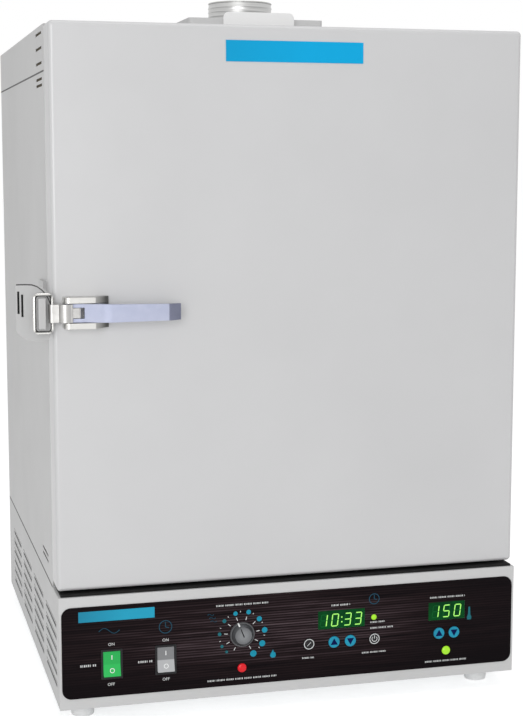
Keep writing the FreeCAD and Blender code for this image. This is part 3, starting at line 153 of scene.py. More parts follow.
class Graph:
    """The nodes of a material or of the world, around its one shader. Sizes are millimetres."""

    def __init__(self, owner: bpy.types.Material | bpy.types.World, shader: str) -> None:
        """Opens the node tree.

        Args:
            owner: The material or world.
            shader: Name of its shader's node.
        """
        owner.use_nodes = True
        self.tree = owner.node_tree
        self.shader = self.tree.nodes[shader]

    def uniform(self, values: dict[str, object]) -> None:
        """Sets the shader's own sockets, each by its name."""
        for name, value in values.items():
            self.shader.inputs[name].default_value = value

    def feed(self, name: str, value: Socket) -> None:
        """Links a pattern to the shader's socket of a name."""
        self.tree.links.new(value, self.shader.inputs[name])

    def out(self, name: str, kind: str, inputs: Inputs | None = None, **settings: object) -> Socket:
        """Adds a node, as add_node does, and gives its output of a name."""
        return add_node(self.tree, kind, inputs, **settings).outputs[name]

    def place(
        self, scale: Point = (1, 1, 1), turn: Point = (0, 0, 0), shift: Point = (0, 0, 0)
    ) -> Socket:
        """Gives Object coordinates, stretched, turned or moved by a Mapping node.

        Args:
            scale: Factor along each axis.
            turn: Turn about each axis in radians.
            shift: Move along each axis in metres.

        Returns:
            The vector socket.
        """
        where = self.out("Object", "TexCoord")
        if scale == (1, 1, 1) and not any((*turn, *shift)):
            return where
        mapping = {"Vector": where, "Scale": scale, "Rotation": turn, "Location": shift}
        return self.out("Vector", "Mapping", mapping)

    def along(self, axis: str) -> Socket:
        """Gives the coordinate along X, Y or Z, in metres."""
        return self.out(axis, "SeparateXYZ", {"Vector": self.place()})

    def maths(self, operation: str, first: Socket, second: Socket | float = 0.0) -> Socket:
        """Works out one operation on two values."""
        return self.out("Value", "Math", {0: first, 1: second}, operation=operation)

    def span(
        self,
        value: Socket,
        first: float = 0.0,
        last: float = 1.0,
        low: float = 0.0,
        high: float = 1.0,
        ease: str = "LINEAR",
    ) -> Socket:
        """Spreads a value from one range over another.

        Args:
            value: The value's socket.
            first: Where the first range starts.
            last: Where it ends.
            low: Result at the start.
            high: Result at the end.
            ease: Blender's name of the interpolation.

        Returns:
            The result's socket.
        """
        ends = {"Value": value, "From Min": first, "From Max": last, "To Min": low, "To Max": high}
        return self.out("Result", "MapRange", ends, interpolation_type=ease)

    def above(self, level: float) -> Socket:
        """Gives 0 below a height and 1 above it, with a soft step."""
        return self.span(self.along("Z"), (level - 0.4) * MM, (level + 0.4) * MM)

    def noise(
        self,
        size: float,
        detail: float = 2.0,
        where: Socket | None = None,
        roughness: float = 0.5,
        distortion: float = 0.0,
    ) -> Socket:
        """Adds a cloudy pattern.

        Args:
            size: Size of its features.
            detail: Number of finer layers.
            where: Coordinates that it is laid on, if not plain Object coordinates.
            roughness: Weight of the finer layers.
            distortion: How far it is twisted.

        Returns:
            The pattern's socket, from 0 to 1.
        """
        inputs = {
            "Vector": where or self.place(), "Scale": per_mm(size), "Detail": detail,
            "Roughness": roughness, "Distortion": distortion,
        }
        return self.out("Fac", "TexNoise", inputs)

    def waves(
        self, size: float, where: Socket, distortion: float, detail: float, fine: float = 1.0,
        **settings: object,
    ) -> Socket:
        """Adds bands or rings.

        Args:
            size: Size that sets their distance.
            where: Coordinates that they are laid on.
            distortion: How far they waver.
            detail: Number of finer layers of the wavering.
            fine: Scale of those layers.
            settings: Attributes of the wave node.

        Returns:
            The pattern's socket, from 0 to 1.
        """
        inputs = {
            "Vector": where, "Scale": per_mm(size) / math.tau, "Distortion": distortion,
            "Detail": detail, "Detail Scale": fine,
        }
        return self.out("Fac", "TexWave", inputs, **settings)

    def cells(self, size: float, randomness: float = 1.0, **settings: object) -> bpy.types.Node:
        """Adds cells of a size, more or less uneven, as a Voronoi node with its settings."""
        inputs = {"Vector": self.place(), "Scale": per_mm(size), "Randomness": randomness}
        return add_node(self.tree, "TexVoronoi", inputs, **settings)

    def ramp(self, value: Socket, stops: Sequence[tuple[float, str]]) -> None:
        """Colours the surface along a pattern.

        Args:
            value: Pattern from 0 to 1.
            stops: Place and sRGB hex colour of each stop, in rising order.
        """
        node = add_node(self.tree, "ValToRGB", {"Fac": value})
        band = node.color_ramp
        while len(band.elements) < len(stops):
            band.elements.new(1.0)
        for element, (place, colour) in zip(band.elements, stops):
            element.position = place
            element.color = linear(colour)
        self.feed("Base Color", node.outputs["Color"])

    def tint(self, value: Socket, dark: str, light: str, ends: Spot = (0.3, 0.7)) -> None:
        """Colours the surface between two shades, whose places along the pattern are the ends."""
        self.ramp(value, list(zip(ends, (dark, light))))

    def gloss(self, value: Socket, middle: float, less: float, more: float) -> None:
        """Spreads the roughness along a pattern, from less than a middle value to more."""
        self.feed("Roughness", self.span(value, low=middle - less, high=middle + more))

    def relief(self, height: Socket, depth: float, strength: float) -> None:
        """Adds a bump to the shader.

        Args:
            height: Socket that gives the height from 0 to 1.
            depth: Height of the relief.
            strength: How much of the bump is used, from 0 to 1.
        """
        inputs = {"Height": height, "Distance": depth * MM, "Strength": strength}
        self.feed("Normal", self.out("Normal", "Bump", inputs))

    def backdrop(self, low: float, high: float) -> Socket:
        """Gives a strength that is high where the backdrop is seen, mirrored or looked through.

        Args:
            low: Strength as a light on the oven.
            high: Strength for the eye, where 1 is white.

        Returns:
            The strength's socket.
        """
        path = add_node(self.tree, "LightPath").outputs
        seen = path["Is Camera Ray"]
        for ray in ("Is Glossy Ray", "Is Transmission Ray"):
            seen = self.maths("MAXIMUM", seen, path[ray])
        return self.span(seen, low=low, high=high)


@dataclass(frozen=True)
class Finish:
    """A surface: what it is made of and how it was made. Subclasses add its pattern."""

    name: str
    colour: str
    roughness: float = 0.5
    metallic: float = 0.0
    specular: float = 0.5

    def material(self) -> bpy.types.Material:
        """Gives the finish's material, made on first use.

        Returns:
            The Blender material.
        """
        known = bpy.data.materials.get(self.name)
        if known:
            return known
        made = bpy.data.materials.new(self.name)
        made.diffuse_color = linear(self.colour)
        graph = Graph(made, "Principled BSDF")
        graph.uniform({
            "Base Color": linear(self.colour), "Roughness": self.roughness,
            "Metallic": self.metallic, "Specular IOR Level": self.specular,
        })
        self.pattern(graph)
        return made

    def pattern(self, graph: Graph) -> None:
        """Adds the finish's colour, roughness and relief pattern to a material's graph."""


@dataclass(frozen=True)
class PowderCoat(Finish):
    """Textured polyester powder coat, baked on steel sheet: satin, with a fine orange peel."""

    shade: str = "CCCCCB"
    peel: float = 1.6

    def pattern(self, graph: Graph) -> None:
        """Adds the peel, which is drawn a little coarse so that it shows, and faint mottling."""
        graph.tint(graph.noise(170, 3), self.shade, self.colour)
        graph.gloss(graph.noise(60, 5), self.roughness, 0.06, 0.08)
        graph.relief(graph.noise(self.peel, roughness=0.45), 0.05, 0.35)


@dataclass(frozen=True)
class BrushedMetal(Finish):
    """Metal sheet rubbed with a belt, so that fine lines run one way and stretch the gloss."""

    shade: str = "A9A9A6"
    lines: Point = (1, 40, 40)
    grit: float = 18.0

    def pattern(self, graph: Graph) -> None:
        """Adds long fine lines in colour, gloss and relief."""
        lines = graph.noise(self.grit, 4, graph.place(self.lines))
        graph.tint(lines, self.shade, self.colour)
        graph.gloss(lines, self.roughness, 0.08, 0.1)
        graph.relief(lines, 0.02, 0.5)


@dataclass(frozen=True)
class Plated(Finish):
    """Zinc or nickel plating on pressed steel: bright, slightly clouded, with a few fine rubs."""

    shade: str = "D0D2DC"
    cloud: float = 14.0

    def pattern(self, graph: Graph) -> None:
        """Adds soft clouds in colour and gloss, and a fine grain."""
        cloud = graph.noise(self.cloud, 4, distortion=0.4)
        graph.tint(cloud, self.shade, self.colour)
        graph.gloss(cloud, self.roughness, 0.05, 0.07)
        graph.relief(graph.noise(6, 3, graph.place((1, 12, 12))), 0.015, 0.4)


@dataclass(frozen=True)
class ShadedWire(Plated):
    """Plated wire bent to a loop: bright outside, with painted shade that darkens the wire towards
    the inside of its loop.
    """

    # Colour of the painted shade inside the loop
    painted_dark: str = "4A4A49"
    centre: Spot = (0.0, 0.0)
    half: Spot = (10.0, 20.0)

    def pattern(self, graph: Graph) -> None:
        """Adds the plating's clouds, and painted shade that darkens the wire towards the inside of
        its loop.
        """
        super().pattern(graph)
        beyond = []
        for axis, middle, half in zip("XZ", self.centre, self.half):
            away = graph.maths("SUBTRACT", graph.along(axis), middle * MM)
            beyond.append(graph.maths("SUBTRACT", graph.maths("ABSOLUTE", away), half * MM))
        outer = graph.span(graph.maths("MAXIMUM", *beyond), -1.1 * MM, 0.2 * MM)
        graph.tint(outer, self.painted_dark, self.colour, WHOLE)


@dataclass(frozen=True)
class ShadedPlate(Plated):
    """Nickel-plated pressing, with painted shade that darkens its sloping end."""

    # Colour of the painted shade on the sloping end
    painted_dark: str = "5E5E5C"
    start: float = 0.0
    end: float = 10.0

    def pattern(self, graph: Graph) -> None:
        """Adds the plating's clouds, and the painted shade along X between two places."""
        super().pattern(graph)
        reach = graph.span(graph.along("X"), self.start * MM, self.end * MM)
        graph.tint(reach, self.colour, self.painted_dark, WHOLE)


@dataclass(frozen=True)
class Galvanised(Finish):
    """Hot-dip galvanised sheet: a spangle of zinc crystals, each with its own grey."""

    shade: str = "AEB2B4"
    crystal: float = 11.0

    def pattern(self, graph: Graph) -> None:
        """Adds the crystals as cells, each with its own shade and gloss."""
        cells = graph.cells(self.crystal, 0.9)
        key = graph.out("Red", "SeparateColor", {"Color": cells.outputs["Color"]})
        graph.tint(key, self.shade, self.colour, (0.1, 0.9))
        graph.gloss(key, self.roughness, 0.08, 0.12)
        graph.relief(cells.outputs["Distance"], 0.02, 0.3)


@dataclass(frozen=True)
class OxidisedSheath(Finish):
    """Nickel alloy tube of the heater, browned and blued in bands by its own heat."""

    heat: str = "4A3B36"

    def pattern(self, graph: Graph) -> None:
        """Adds uneven heat tints and a scaly grain."""
        graph.tint(graph.noise(45, 5), self.heat, self.colour)
        graph.relief(graph.noise(0.9, 3), 0.06, 0.6)


@dataclass(frozen=True)
class GlassWool(Finish):
    """Needled glass-fibre blanket: matt, fibrous and lumpy."""

    shade: str = "D9C98A"

    def pattern(self, graph: Graph) -> None:
        """Adds matted fibres, drawn coarse so that they show."""
        fibres = graph.noise(7, 6, graph.place((1, 6, 6), (0.3, 0.5, 0.4)), distortion=1.5)
        graph.tint(fibres, self.shade, self.colour)
        graph.relief(fibres, 1.4, 0.9)


@dataclass(frozen=True)
class RibbedGasket(Finish):
    """Silicone seal with a fine moulded rib across it."""

    rib: float = 2.2

    def pattern(self, graph: Graph) -> None:
        """Adds the ribs and a little dust."""
        where = graph.place(turn=(0.0, math.pi / 4, 0.0))
        graph.relief(graph.waves(self.rib, where, 0.6, 1), 0.3, 0.7)
        graph.gloss(graph.noise(9, 6), self.roughness, 0.12, 0.15)


@dataclass(frozen=True)
class PrintedFilm(Finish):
    """Polycarbonate overlay printed from behind: near-black with long brown-grey streaks."""

    streak: str = "574B4F"
    rise: Point = (0.034, 0.092, 0.165)
    run: Point = (-0.34, 0.02, 0.29)
    rest: float = 0.2

    def pattern(self, graph: Graph) -> None:
        """Adds the printed streaks, strongest across the panel's middle, and the velvet grain."""
        broad = graph.noise(105, 4, graph.place((1, 1, 26)), roughness=0.6, distortion=0.25)
        fine = graph.waves(1.55, graph.place((0.1, 1, 1)), 3, 2, 0.12, bands_direction="Z")
        fades = [self.fade(graph, axis, ends) for axis, ends in (("Z", self.rise), ("X", self.run))]
        fade = graph.maths("MULTIPLY", *fades)
        both = graph.maths("MULTIPLY", broad, graph.span(fine, low=0.55))
        ink = graph.maths("MULTIPLY", graph.span(both, 0.2, 0.62), fade)
        graph.ramp(ink, [(0.0, self.colour), (0.3, "211719"), (0.6, "3E3337"), (1.0, self.streak)])
        graph.relief(graph.noise(0.8, 1), 0.012, 0.4)

    def fade(self, graph: Graph, axis: str, places: Point) -> Socket:
        """Gives a strength that is full at a middle place and low at two ends.

        Args:
            graph: The material's graph.
            axis: Axis that it runs along.
            places: The first end, the middle and the last end, in metres.

        Returns:
            The strength's socket.
        """
        first, middle, last = places
        sides = [
            graph.span(graph.along(axis), end, middle, self.rest, 1.0, "SMOOTHSTEP")
            for end in (first, last)
        ]
        return graph.maths("MINIMUM", *sides)


@dataclass(frozen=True)
class ScreenInk(Finish):
    """Screen-printed ink: opaque and matt, slightly uneven at the scale of the mesh."""

    worn: str = "C8CACA"

    def pattern(self, graph: Graph) -> None:
        """Adds the mesh's faint unevenness."""
        graph.tint(graph.noise(1.1), self.worn, self.colour, (0.25, 0.55))


@dataclass(frozen=True)
class BadgeEnamel(Finish):
    """Bare blue plate: anodised and lacquered aluminium, a little darker towards its left."""

    deep: str = "0B86B4"
    centre: float = 0.0
    width: float = 160.0

    def pattern(self, graph: Graph) -> None:
        """Adds the blend of blue along the plate and a fine brushed line under the lacquer."""
        first, last = (self.centre + self.width / 2 * side for side in (-1, 1))
        graph.tint(
            graph.span(graph.along("X"), first * MM, last * MM), self.deep, self.colour, (0.0, 0.6)
        )
        graph.relief(graph.noise(12, 3, graph.place((1, 30, 30))), 0.01, 0.4)


@dataclass(frozen=True)
class MouldedPlastic(Finish):
    """Injection-moulded plastic: even, with a fine spark-eroded grain."""

    shade: str = "8A8A8A"
    grain: float = 0.7

    def pattern(self, graph: Graph) -> None:
        """Adds the grain, drawn a little coarse, and slight clouding from the mould's flow."""
        graph.tint(graph.noise(12, 3), self.shade, self.colour)
        graph.relief(graph.noise(self.grain), 0.02, 0.5)


@dataclass(frozen=True)
class RockerNylon(MouldedPlastic):
    """Moulded nylon rocker: its raised upper half leans away from the light and looks darker."""

    upper: str = "8E8F91"
    level: float = 71.0

    def pattern(self, graph: Graph) -> None:
        """Adds the grain, and the darker upper half."""
        super().pattern(graph)
        graph.tint(graph.above(self.level), self.colour, self.upper, WHOLE)


@dataclass(frozen=True)
class LitPlastic(Finish):
    """Clear tinted plastic with a lamp behind it: glossy, with a steady glow."""

    glow: str = "FFFFFF"
    power: float = 0.6
    spread: float = 5.0

    def pattern(self, graph: Graph) -> None:
        """Adds the glow and the prisms inside the lens."""
        graph.uniform({"Emission Color": linear(self.glow), "Emission Strength": self.power})
        graph.relief(graph.cells(self.spread / 4, 0.3).outputs["Distance"], 0.12, 0.5)


@dataclass(frozen=True)
class LitRocker(LitPlastic):
    """Lamp-lit rocker of clear green plastic: its raised upper half is painted a deeper green, as
    shade.
    """

    # Deeper green of the upper half: painted shade
    upper: str = "1A9846"
    level: float = 71.0

    def pattern(self, graph: Graph) -> None:
        """Adds the glow and the prisms, and the painted shade on the upper half."""
        super().pattern(graph)
        graph.tint(graph.above(self.level), self.colour, self.upper, WHOLE)


@dataclass(frozen=True)
class DisplayWindow(Finish):
    """Green-tinted window of a lit display, with a faint glow."""

    deep: str = "07341A"
    glow: str = "1E7A3C"
    power: float = 0.05

    def pattern(self, graph: Graph) -> None:
        """Adds the glow through the tint and faint cloudiness."""
        graph.tint(graph.noise(14), self.deep, self.colour)
        graph.uniform({"Emission Color": linear(self.glow), "Emission Strength": self.power})
        graph.relief(graph.noise(0.5), 0.01, 0.3)


@dataclass(frozen=True)
class CircuitBoard(Finish):
    """Glass-epoxy board under green solder mask, with copper tracks that show through it."""

    track: str = "2F8A50"

    def pattern(self, graph: Graph) -> None:
        """Adds the tracks as straight-edged cells."""
        cells = graph.cells(9, distance="MANHATTAN").outputs["Distance"]
        graph.tint(cells, self.colour, self.track, (0.4, 0.5))
        graph.relief(cells, 0.03, 0.3)


@dataclass(frozen=True)
class SpunMetal(Finish):
    """Disc turned on a lathe: fine rings around its middle, which fan the gloss out."""

    centre: Point = (0.0, 0.0, 0.0)
    # Colour of the painted shade at the rim
    shade: str = "4E4F52"
    flat: float = 4.0
    radius: float = 13.5

    def pattern(self, graph: Graph) -> None:
        """Adds the rings, drawn a little coarse so that they show, and painted shade that darkens
        the rim.
        """
        where = graph.place(shift=tuple(-c * MM for c in self.centre))
        rings = graph.waves(1.1, where, 0.8, 2, wave_type="RINGS", rings_direction="Y")
        graph.gloss(rings, self.roughness, 0.05, 0.1)
        graph.relief(rings, 0.02, 0.6)
        disc = graph.out("Vector", "Mapping", {"Vector": where, "Scale": (1, 0, 1)})
        away = graph.out("Value", "VectorMath", {0: disc}, operation="LENGTH")
        # Painted shade: darker from the flat middle out to the rim
        rim = graph.span(away, self.flat * MM, self.radius * MM)
        graph.tint(rim, self.colour, self.shade, WHOLE)


DOOR_PAINT = PowderCoat("powder_coat_door", "CBCBCC", 0.34, shade="C7C7C8", specular=0.8)
CABINET_PAINT = PowderCoat("powder_coat_cabinet", "CDCDCD", 0.48, shade="C9C9C9", specular=0.35)
KEEPER_PAINT = PowderCoat("powder_coat_keeper", "BEBEBE", 0.42, shade="B8B8B8")
# Paler than the cabinet paint: painted light on the damper slide's lit pull tab
LIT_LIP_PAINT = PowderCoat("pale_powder_coat_lip_painted_light", "EEEEEE", 0.4, shade="EAEAEA")
STAINLESS = BrushedMetal("brushed_stainless_steel", "C9C8C4", 0.3, 1.0)
GALVANISED = Galvanised("galvanised_steel", "D3D6D8", 0.38, 1.0)
SPUN_COLLAR = BrushedMetal(
    "satin_zinc_collar", "C9C9C8", 0.34, 1.0, shade="B9B9B8", lines=(0.3, 0.3, 9.0), grit=9.0
)
ALUMINIUM_FOIL = BrushedMetal("silver_foil_label", "C4C5C6", 0.36, 1.0, shade="B2B3B4")
# Dark grey on the louvre lips: painted shade that makes the slots look wider
LIP_SHADE = Plated("steel_lip_painted_shade", "9A9A99", 0.5, 0.9, shade="8C8C8B")
BRASS = Plated("turned_brass", "C9A557", 0.3, 1.0, shade="B08D45")
LEVER_PLATE = Plated("blue_passivated_zinc", "B7BBCD", 0.66, 0.75, shade="ABB0C4")
# Darker copy of the lever's plating: painted shade for the dark reflection on the lever's end
LEVER_TIP_SHADE = Plated("zinc_tip_painted_shade", "7C7F92", 0.45, 0.7, shade="737689")
NICKEL = Plated("bright_nickel_plate", "D2D1CE", 0.2, 1.0, shade="BAB9B6")
SATIN_NICKEL = Plated("satin_nickel_plate", "C6C5C2", 0.32, 1.0, shade="B4B3B0")
LINK_NICKEL = Plated("polished_nickel_link", "BDBCBA", 0.34, 1.0, shade="ACABA9")
# The latch base's sloping end is painted darker, as shade
BASE_NICKEL = ShadedPlate(
    "nickel_latch_base_painted_shade", "C8C7C4", 0.3, 1.0, start=LEFT + 45, end=LEFT + 59
)
# The ring's wire is painted darker towards the inside of its loop, as shade
RING_NICKEL = ShadedWire(
    "nickel_wire_painted_shade", "DAD9D6", 0.2, 1.0, centre=(LEFT - 11.75, LATCH_Z), half=(9.75, 21.15)
)
SHEATH = OxidisedSheath("oxidised_nickel_alloy", "6E625C", 0.42, 1.0)
WOOL = GlassWool("mineral_wool_blanket", "6B6455", 0.95, shade="57503F")
SEAL = RibbedGasket("silicone_gasket", "3B3A3A", 0.6)
FILM = PrintedFilm("printed_polycarbonate_film", "090508", 0.38, specular=0.05)
WHITE_INK = ScreenInk("white_screen_ink", "E2E4E4", 0.6)
CAPTION_INK = ScreenInk("caption_screen_ink", "D6D8D8", 0.6, worn="BEC0C0")
DIM_INK = ScreenInk("dim_cyan_screen_ink", "1A6E78", 0.6, worn="155A64", specular=0.2)
CYAN_INK = ScreenInk("cyan_screen_ink", "1594B0", 0.55, worn="138099", specular=0.2)
TEAL_INK = ScreenInk("deep_teal_screen_ink", "164F66", 0.6, worn="113E52", specular=0.2)
NAVY_INK = ScreenInk("navy_screen_ink", "04154C", 0.6, worn="03103E", specular=0.08)
DOOR_BADGE = BadgeEnamel(
    "blue_enamel_door_badge", "04A6DC", 0.42, deep="069CCE", centre=MIDDLE, specular=0.16
)
PANEL_BADGE = BadgeEnamel(
    "blue_enamel_panel_badge", "1C9DBE", 0.42,
    deep="1583A2", centre=MIDDLE - 213, width=88, specular=0.25,
)
# Black for the rear plate's printed bars, and painted shade in slots, gaps and behind the louvres
SLOT_DARK = MouldedPlastic("black_print_and_painted_shade", "171717", 0.7, shade="121212", specular=0.2)
# Dark grey lines in the panel joins and along the keeper's top: painted shade
SHADE_LINE = MouldedPlastic("grey_painted_shade_line", "4C4C4C", 0.6, shade="424242", specular=0.3)
BLACK_PLASTIC = MouldedPlastic("black_moulded_abs", "17171A", 0.45, shade="111113", specular=0.3)
WHITE_PLASTIC = MouldedPlastic("white_moulded_abs", "EDEEEE", 0.35, shade="E2E3E3")
FOOT_PLASTIC = MouldedPlastic("pale_moulded_foot", "F2F2F2", 0.45, shade="ECECEC")
KEY_CYAN = MouldedPlastic("cyan_moulded_key", "179CBC", 0.4, shade="1489A8", specular=0.3)
KNOB_PLASTIC = MouldedPlastic("grey_moulded_phenolic", "58595B", 0.4, shade="48494B")
# The knob's face is painted darker towards its rim, as shade
KNOB_FACE = SpunMetal(
    "spun_aluminium_knob_face", "7D7F81", 0.42, 0.8, centre=(MIDDLE - 65, BASE_FRONT, 94.0)
)
ROCKER_GREY = RockerNylon(
    "light_grey_moulded_nylon", "B2B3B5", 0.38, shade="A4A5A7", upper="7C7D7F"
)
# Its upper half takes a deeper green as painted shade
ROCKER_GREEN = LitRocker(
    "green_lit_rocker", "22A64E", 0.3, glow="25B858", power=0.2, spread=9, specular=0.3
)
RED_LENS = LitPlastic("red_lamp_lens", "BC0C18", 0.15, glow="DA101C", power=0.36, specular=0.3)
GREEN_LENS = LitPlastic("green_lamp_lens", "86BE1C", 0.15, glow="9BD624", power=0.5, specular=0.35)
SEGMENTS = LitPlastic("lit_display_segment", "8FD060", 0.4, glow="9CF062", power=0.55, spread=2)
DIM_SEGMENTS = MouldedPlastic(
    "unlit_display_segment", "10602B", 0.4, shade="0E5526", specular=0.05
)
WINDOW = DisplayWindow("green_display_window", "0A4A20", 0.2, specular=0.03)
BOARD = CircuitBoard("green_circuit_board", "1C6B3C", 0.4)


def put(name: str, data: bpy.types.ID) -> bpy.types.Object:
    """Makes an object of a mesh, lamp or camera and adds it to the scene."""
    thing = bpy.data.objects.new(name, data)
    bpy.context.scene.collection.objects.link(thing)
    return thing


@dataclass
class Studio:
    """Camera, lights, floor and surroundings, in metres."""

    lens: float = 76.36
    sensor: float = 36.0
    where: Point = (MIDDLE * MM - 0.4869, -1.95, 0.6372)
    tilt: Spot = (90 - 7.136, -14.878)
    aim: Point = (0.0, 0.0, 0.4)
    lamps: Sequence[tuple[str, Point, float, float]] = (
        ("key_lamp", (-1.2, -3.1, 0.95), 1.6, 42),
        ("top_lamp", (0.3, -0.6, 3.2), 2.0, 16),
    )
    room_light: float = 0.54
    floor_light: float = 0.56
    floor_grey: float = 0.82
    floor_reach: float = 30.0

    def camera(self) -> None:
        """Sets the camera at the photograph's place."""
        data = bpy.data.cameras.new("photo_camera")
        data.lens = self.lens
        data.sensor_width = self.sensor
        data.clip_start = 0.01
        camera = put("photo_camera", data)
        camera.location = self.where
        camera.rotation_euler = (math.radians(self.tilt[0]), 0.0, math.radians(self.tilt[1]))
        bpy.context.scene.camera = camera

    def lamp(self, name: str, at: Point, size: float, power: float) -> None:
        """Adds a soft square lamp that faces the oven.

        Args:
            name: Name of the lamp.
            at: Its place.
            size: Its side.
            power: Its power in watts.
        """
        data = bpy.data.lights.new(name, "AREA")
        data.shape = "SQUARE"
        data.size = size
        data.energy = power
        lamp = put(name, data)
        lamp.location = at
        way = Vector(self.aim) - Vector(at)
        lamp.rotation_euler = way.to_track_quat("-Z", "Y").to_euler()

    def surroundings(self) -> None:
        """Makes the world plain: white where it is seen or mirrored, softer as a light."""
        world = bpy.data.worlds.new("pale_room")
        bpy.context.scene.world = world
        graph = Graph(world, "Background")
        graph.uniform({"Color": grey(1.0)})
        graph.feed("Strength", graph.backdrop(self.room_light, 1.0))

    def floor(self) -> None:
        """Lays a wide matt floor, which shows white and keeps the oven's shadow."""
        bm = bmesh.new()
        bmesh.ops.create_grid(bm, x_segments=1, y_segments=1, size=self.floor_reach)
        mesh = bpy.data.meshes.new("studio_floor")
        bm.to_mesh(mesh)
        bm.free()
        paint = bpy.data.materials.new("matt_white_floor")
        graph = Graph(paint, "Principled BSDF")
        graph.uniform({
            "Base Color": grey(self.floor_grey), "Roughness": 0.9, "Specular IOR Level": 0.0,
            "Emission Color": grey(1.0),
        })
        graph.feed("Emission Strength", graph.backdrop(0.0, self.floor_light))
        mesh.materials.append(paint)
        put("studio_floor", mesh)

    def build(self) -> None:
        """Sets up everything that isn't the oven."""
        bpy.context.scene.view_settings.view_transform = "Standard"
        self.camera()
        self.surroundings()
        self.floor()
        for lamp in self.lamps:
            self.lamp(*lamp)


def upright(at: Spot, depth: Spot) -> Matrix:
    """Stands what lies flat upright, its middle at an X and Z and midway in its depth."""
    where = Matrix.Translation((at[0], sum(depth) / 2, at[1]))
    return where @ Matrix.Rotation(math.pi / 2, 4, "X")


class Piece:
    """A mesh in the making, in millimetres of the row frame, that becomes one object.

    Flat shapes lie across X and Z, and their depth is the Y of their front and back.
    """

    # Factor and height of each ring of a screw's domed head
    dome: Sequence[Spot] = ((1.0, 0.45), (0.94, 0.75), (0.78, 0.94), (0.56, 1.0))
    # Reach of its cross recess between the arms and added along them, its taper and its depth
    cross: Sequence[float] = (0.32, 0.62, 0.85, 0.8)
    # Height of a capital as a share of the letters' size
    capital: float = 0.7
    # What a drawn line runs past its corners, as a share of its width
    lap: float = 0.7

    def __init__(self, name: str) -> None:
        """Starts an empty mesh for a piece of a name."""
        self.name = name
        self.bm = bmesh.new()

    def added(self, before: set[Vert]) -> list[Vert]:
        """The vertices that weren't there before."""
        return [v for v in self.bm.verts if v not in before]

    def move(self, before: set[Vert], matrix: Matrix) -> list[Vert]:
        """Moves the vertices that weren't there before, and gives them.

        Args:
            before: The vertices that stay.
            matrix: The turn and move.

        Returns:
            The moved vertices.
        """
        made = self.added(before)
        bmesh.ops.transform(self.bm, matrix=matrix, verts=made)
        return made

    def bevel(self, edges: list[Edge], radius: float, rounds: int, clamp: bool) -> None:
        """Rounds edges by a radius in some segments, clamped or not where they would overlap."""
        bmesh.ops.bevel(
            self.bm, geom=edges, offset=radius, segments=rounds, profile=0.5, affect="EDGES",
            clamp_overlap=clamp, material=-1,
        )

    def spin(self, geom: list, centre: Point, axis: Point, angle: float, steps: int) -> None:
        """Turns geometry about an axis through a centre by an angle, and closes a whole turn."""
        bmesh.ops.spin(
            self.bm, geom=geom, cent=centre, axis=axis, dvec=(0, 0, 0), angle=angle,
            steps=steps, use_merge=angle >= math.tau, use_duplicate=False,
        )

    def block(self, low: Point, high: Point, soft: float = 0.0, rounds: int = 2) -> None:
        """Adds a box with softened edges.

        Args:
            low: Its lowest corner.
            high: Its highest corner.
            soft: Radius of its edges.
            rounds: Segments of each rounded edge.
        """
        size = Vector(high) - Vector(low)
        middle = (Vector(high) + Vector(low)) / 2
        stretch = Matrix.Translation(middle) @ Matrix.Diagonal((*size, 1.0))
        made = bmesh.ops.create_cube(self.bm, size=1.0, matrix=stretch)["verts"]
        if soft:
            self.bevel(list({e for v in made for e in v.link_edges}), soft, rounds, False)

    def plate(self, outline: Sequence[Spot], depth: Spot, at: Matrix | None = None) -> None:
        """Adds a flat plate.

        Args:
            outline: X and Z of its corners, in order.
            depth: Y of its front and back.
            at: A turn and move of the finished plate.
        """
        before = set(self.bm.verts)
        face = self.bm.faces.new([self.bm.verts.new((x, depth[0], z)) for x, z in outline])
        grown = bmesh.ops.extrude_face_region(self.bm, geom=[face])["geom"]
        moved = [g for g in grown if isinstance(g, Vert)]
        bmesh.ops.translate(self.bm, vec=(0, depth[1] - depth[0], 0), verts=moved)
        if at:
            self.move(before, at)

    def dot(self, at: Spot, radius: float, depth: Spot) -> None:
        """Adds a flat round dot with its middle at an X and Z."""
        bmesh.ops.create_cone(
            self.bm, cap_ends=True, segments=32, radius1=radius, radius2=radius,
            depth=depth[1] - depth[0], matrix=upright(at, depth),
        )

    def washer(
        self, at: Spot, radius: float, width: float, depth: Spot, arc: tuple[int, int] = (0, 360)
    ) -> None:
        """Adds a flat ring, or an arc of one.

        Args:
            at: X and Z of its middle.
            radius: Its middle radius.
            width: Its width.
            depth: Y of its front and back.
            arc: Its first and last angle in degrees, counted from +X towards +Z.
        """
        start, turn = math.radians(arc[0]), math.radians(arc[1] - arc[0])
        across = Vector((math.cos(start), 0, math.sin(start)))
        centre = Vector((at[0], 0, at[1]))
        near, far = depth
        corners = [
            self.bm.verts.new(centre + across * (radius + width / 2 * side) + Vector((0, y, 0)))
            for side, y in ((-1, near), (1, near), (1, far), (-1, far))
        ]
        face = self.bm.faces.new(corners)
        geom = list(face.edges) + corners
        if turn < math.tau:
            geom.append(face)
        else:
            self.bm.faces.remove(face)
        self.spin(geom, centre, (0, -1, 0), turn, max(6, round((arc[1] - arc[0]) / 9)))

    def stroke(self, points: Sequence[Spot], width: float, depth: Spot) -> None:
        """Adds a drawn line of even width.

        Args:
            points: X and Z of its corners.
            width: Its width.
            depth: Y of its front and back.
        """
        for (x0, z0), (x1, z1) in zip(points, points[1:]):
            where = Matrix.Translation(((x0 + x1) / 2, sum(depth) / 2, (z0 + z1) / 2))
            turn = Matrix.Rotation(-math.atan2(z1 - z0, x1 - x0), 4, "Y")
            reach = math.hypot(x1 - x0, z1 - z0) + width * self.lap
            size = Matrix.Diagonal((reach, depth[1] - depth[0], width, 1.0))
            bmesh.ops.create_cube(self.bm, size=1.0, matrix=where @ turn @ size)

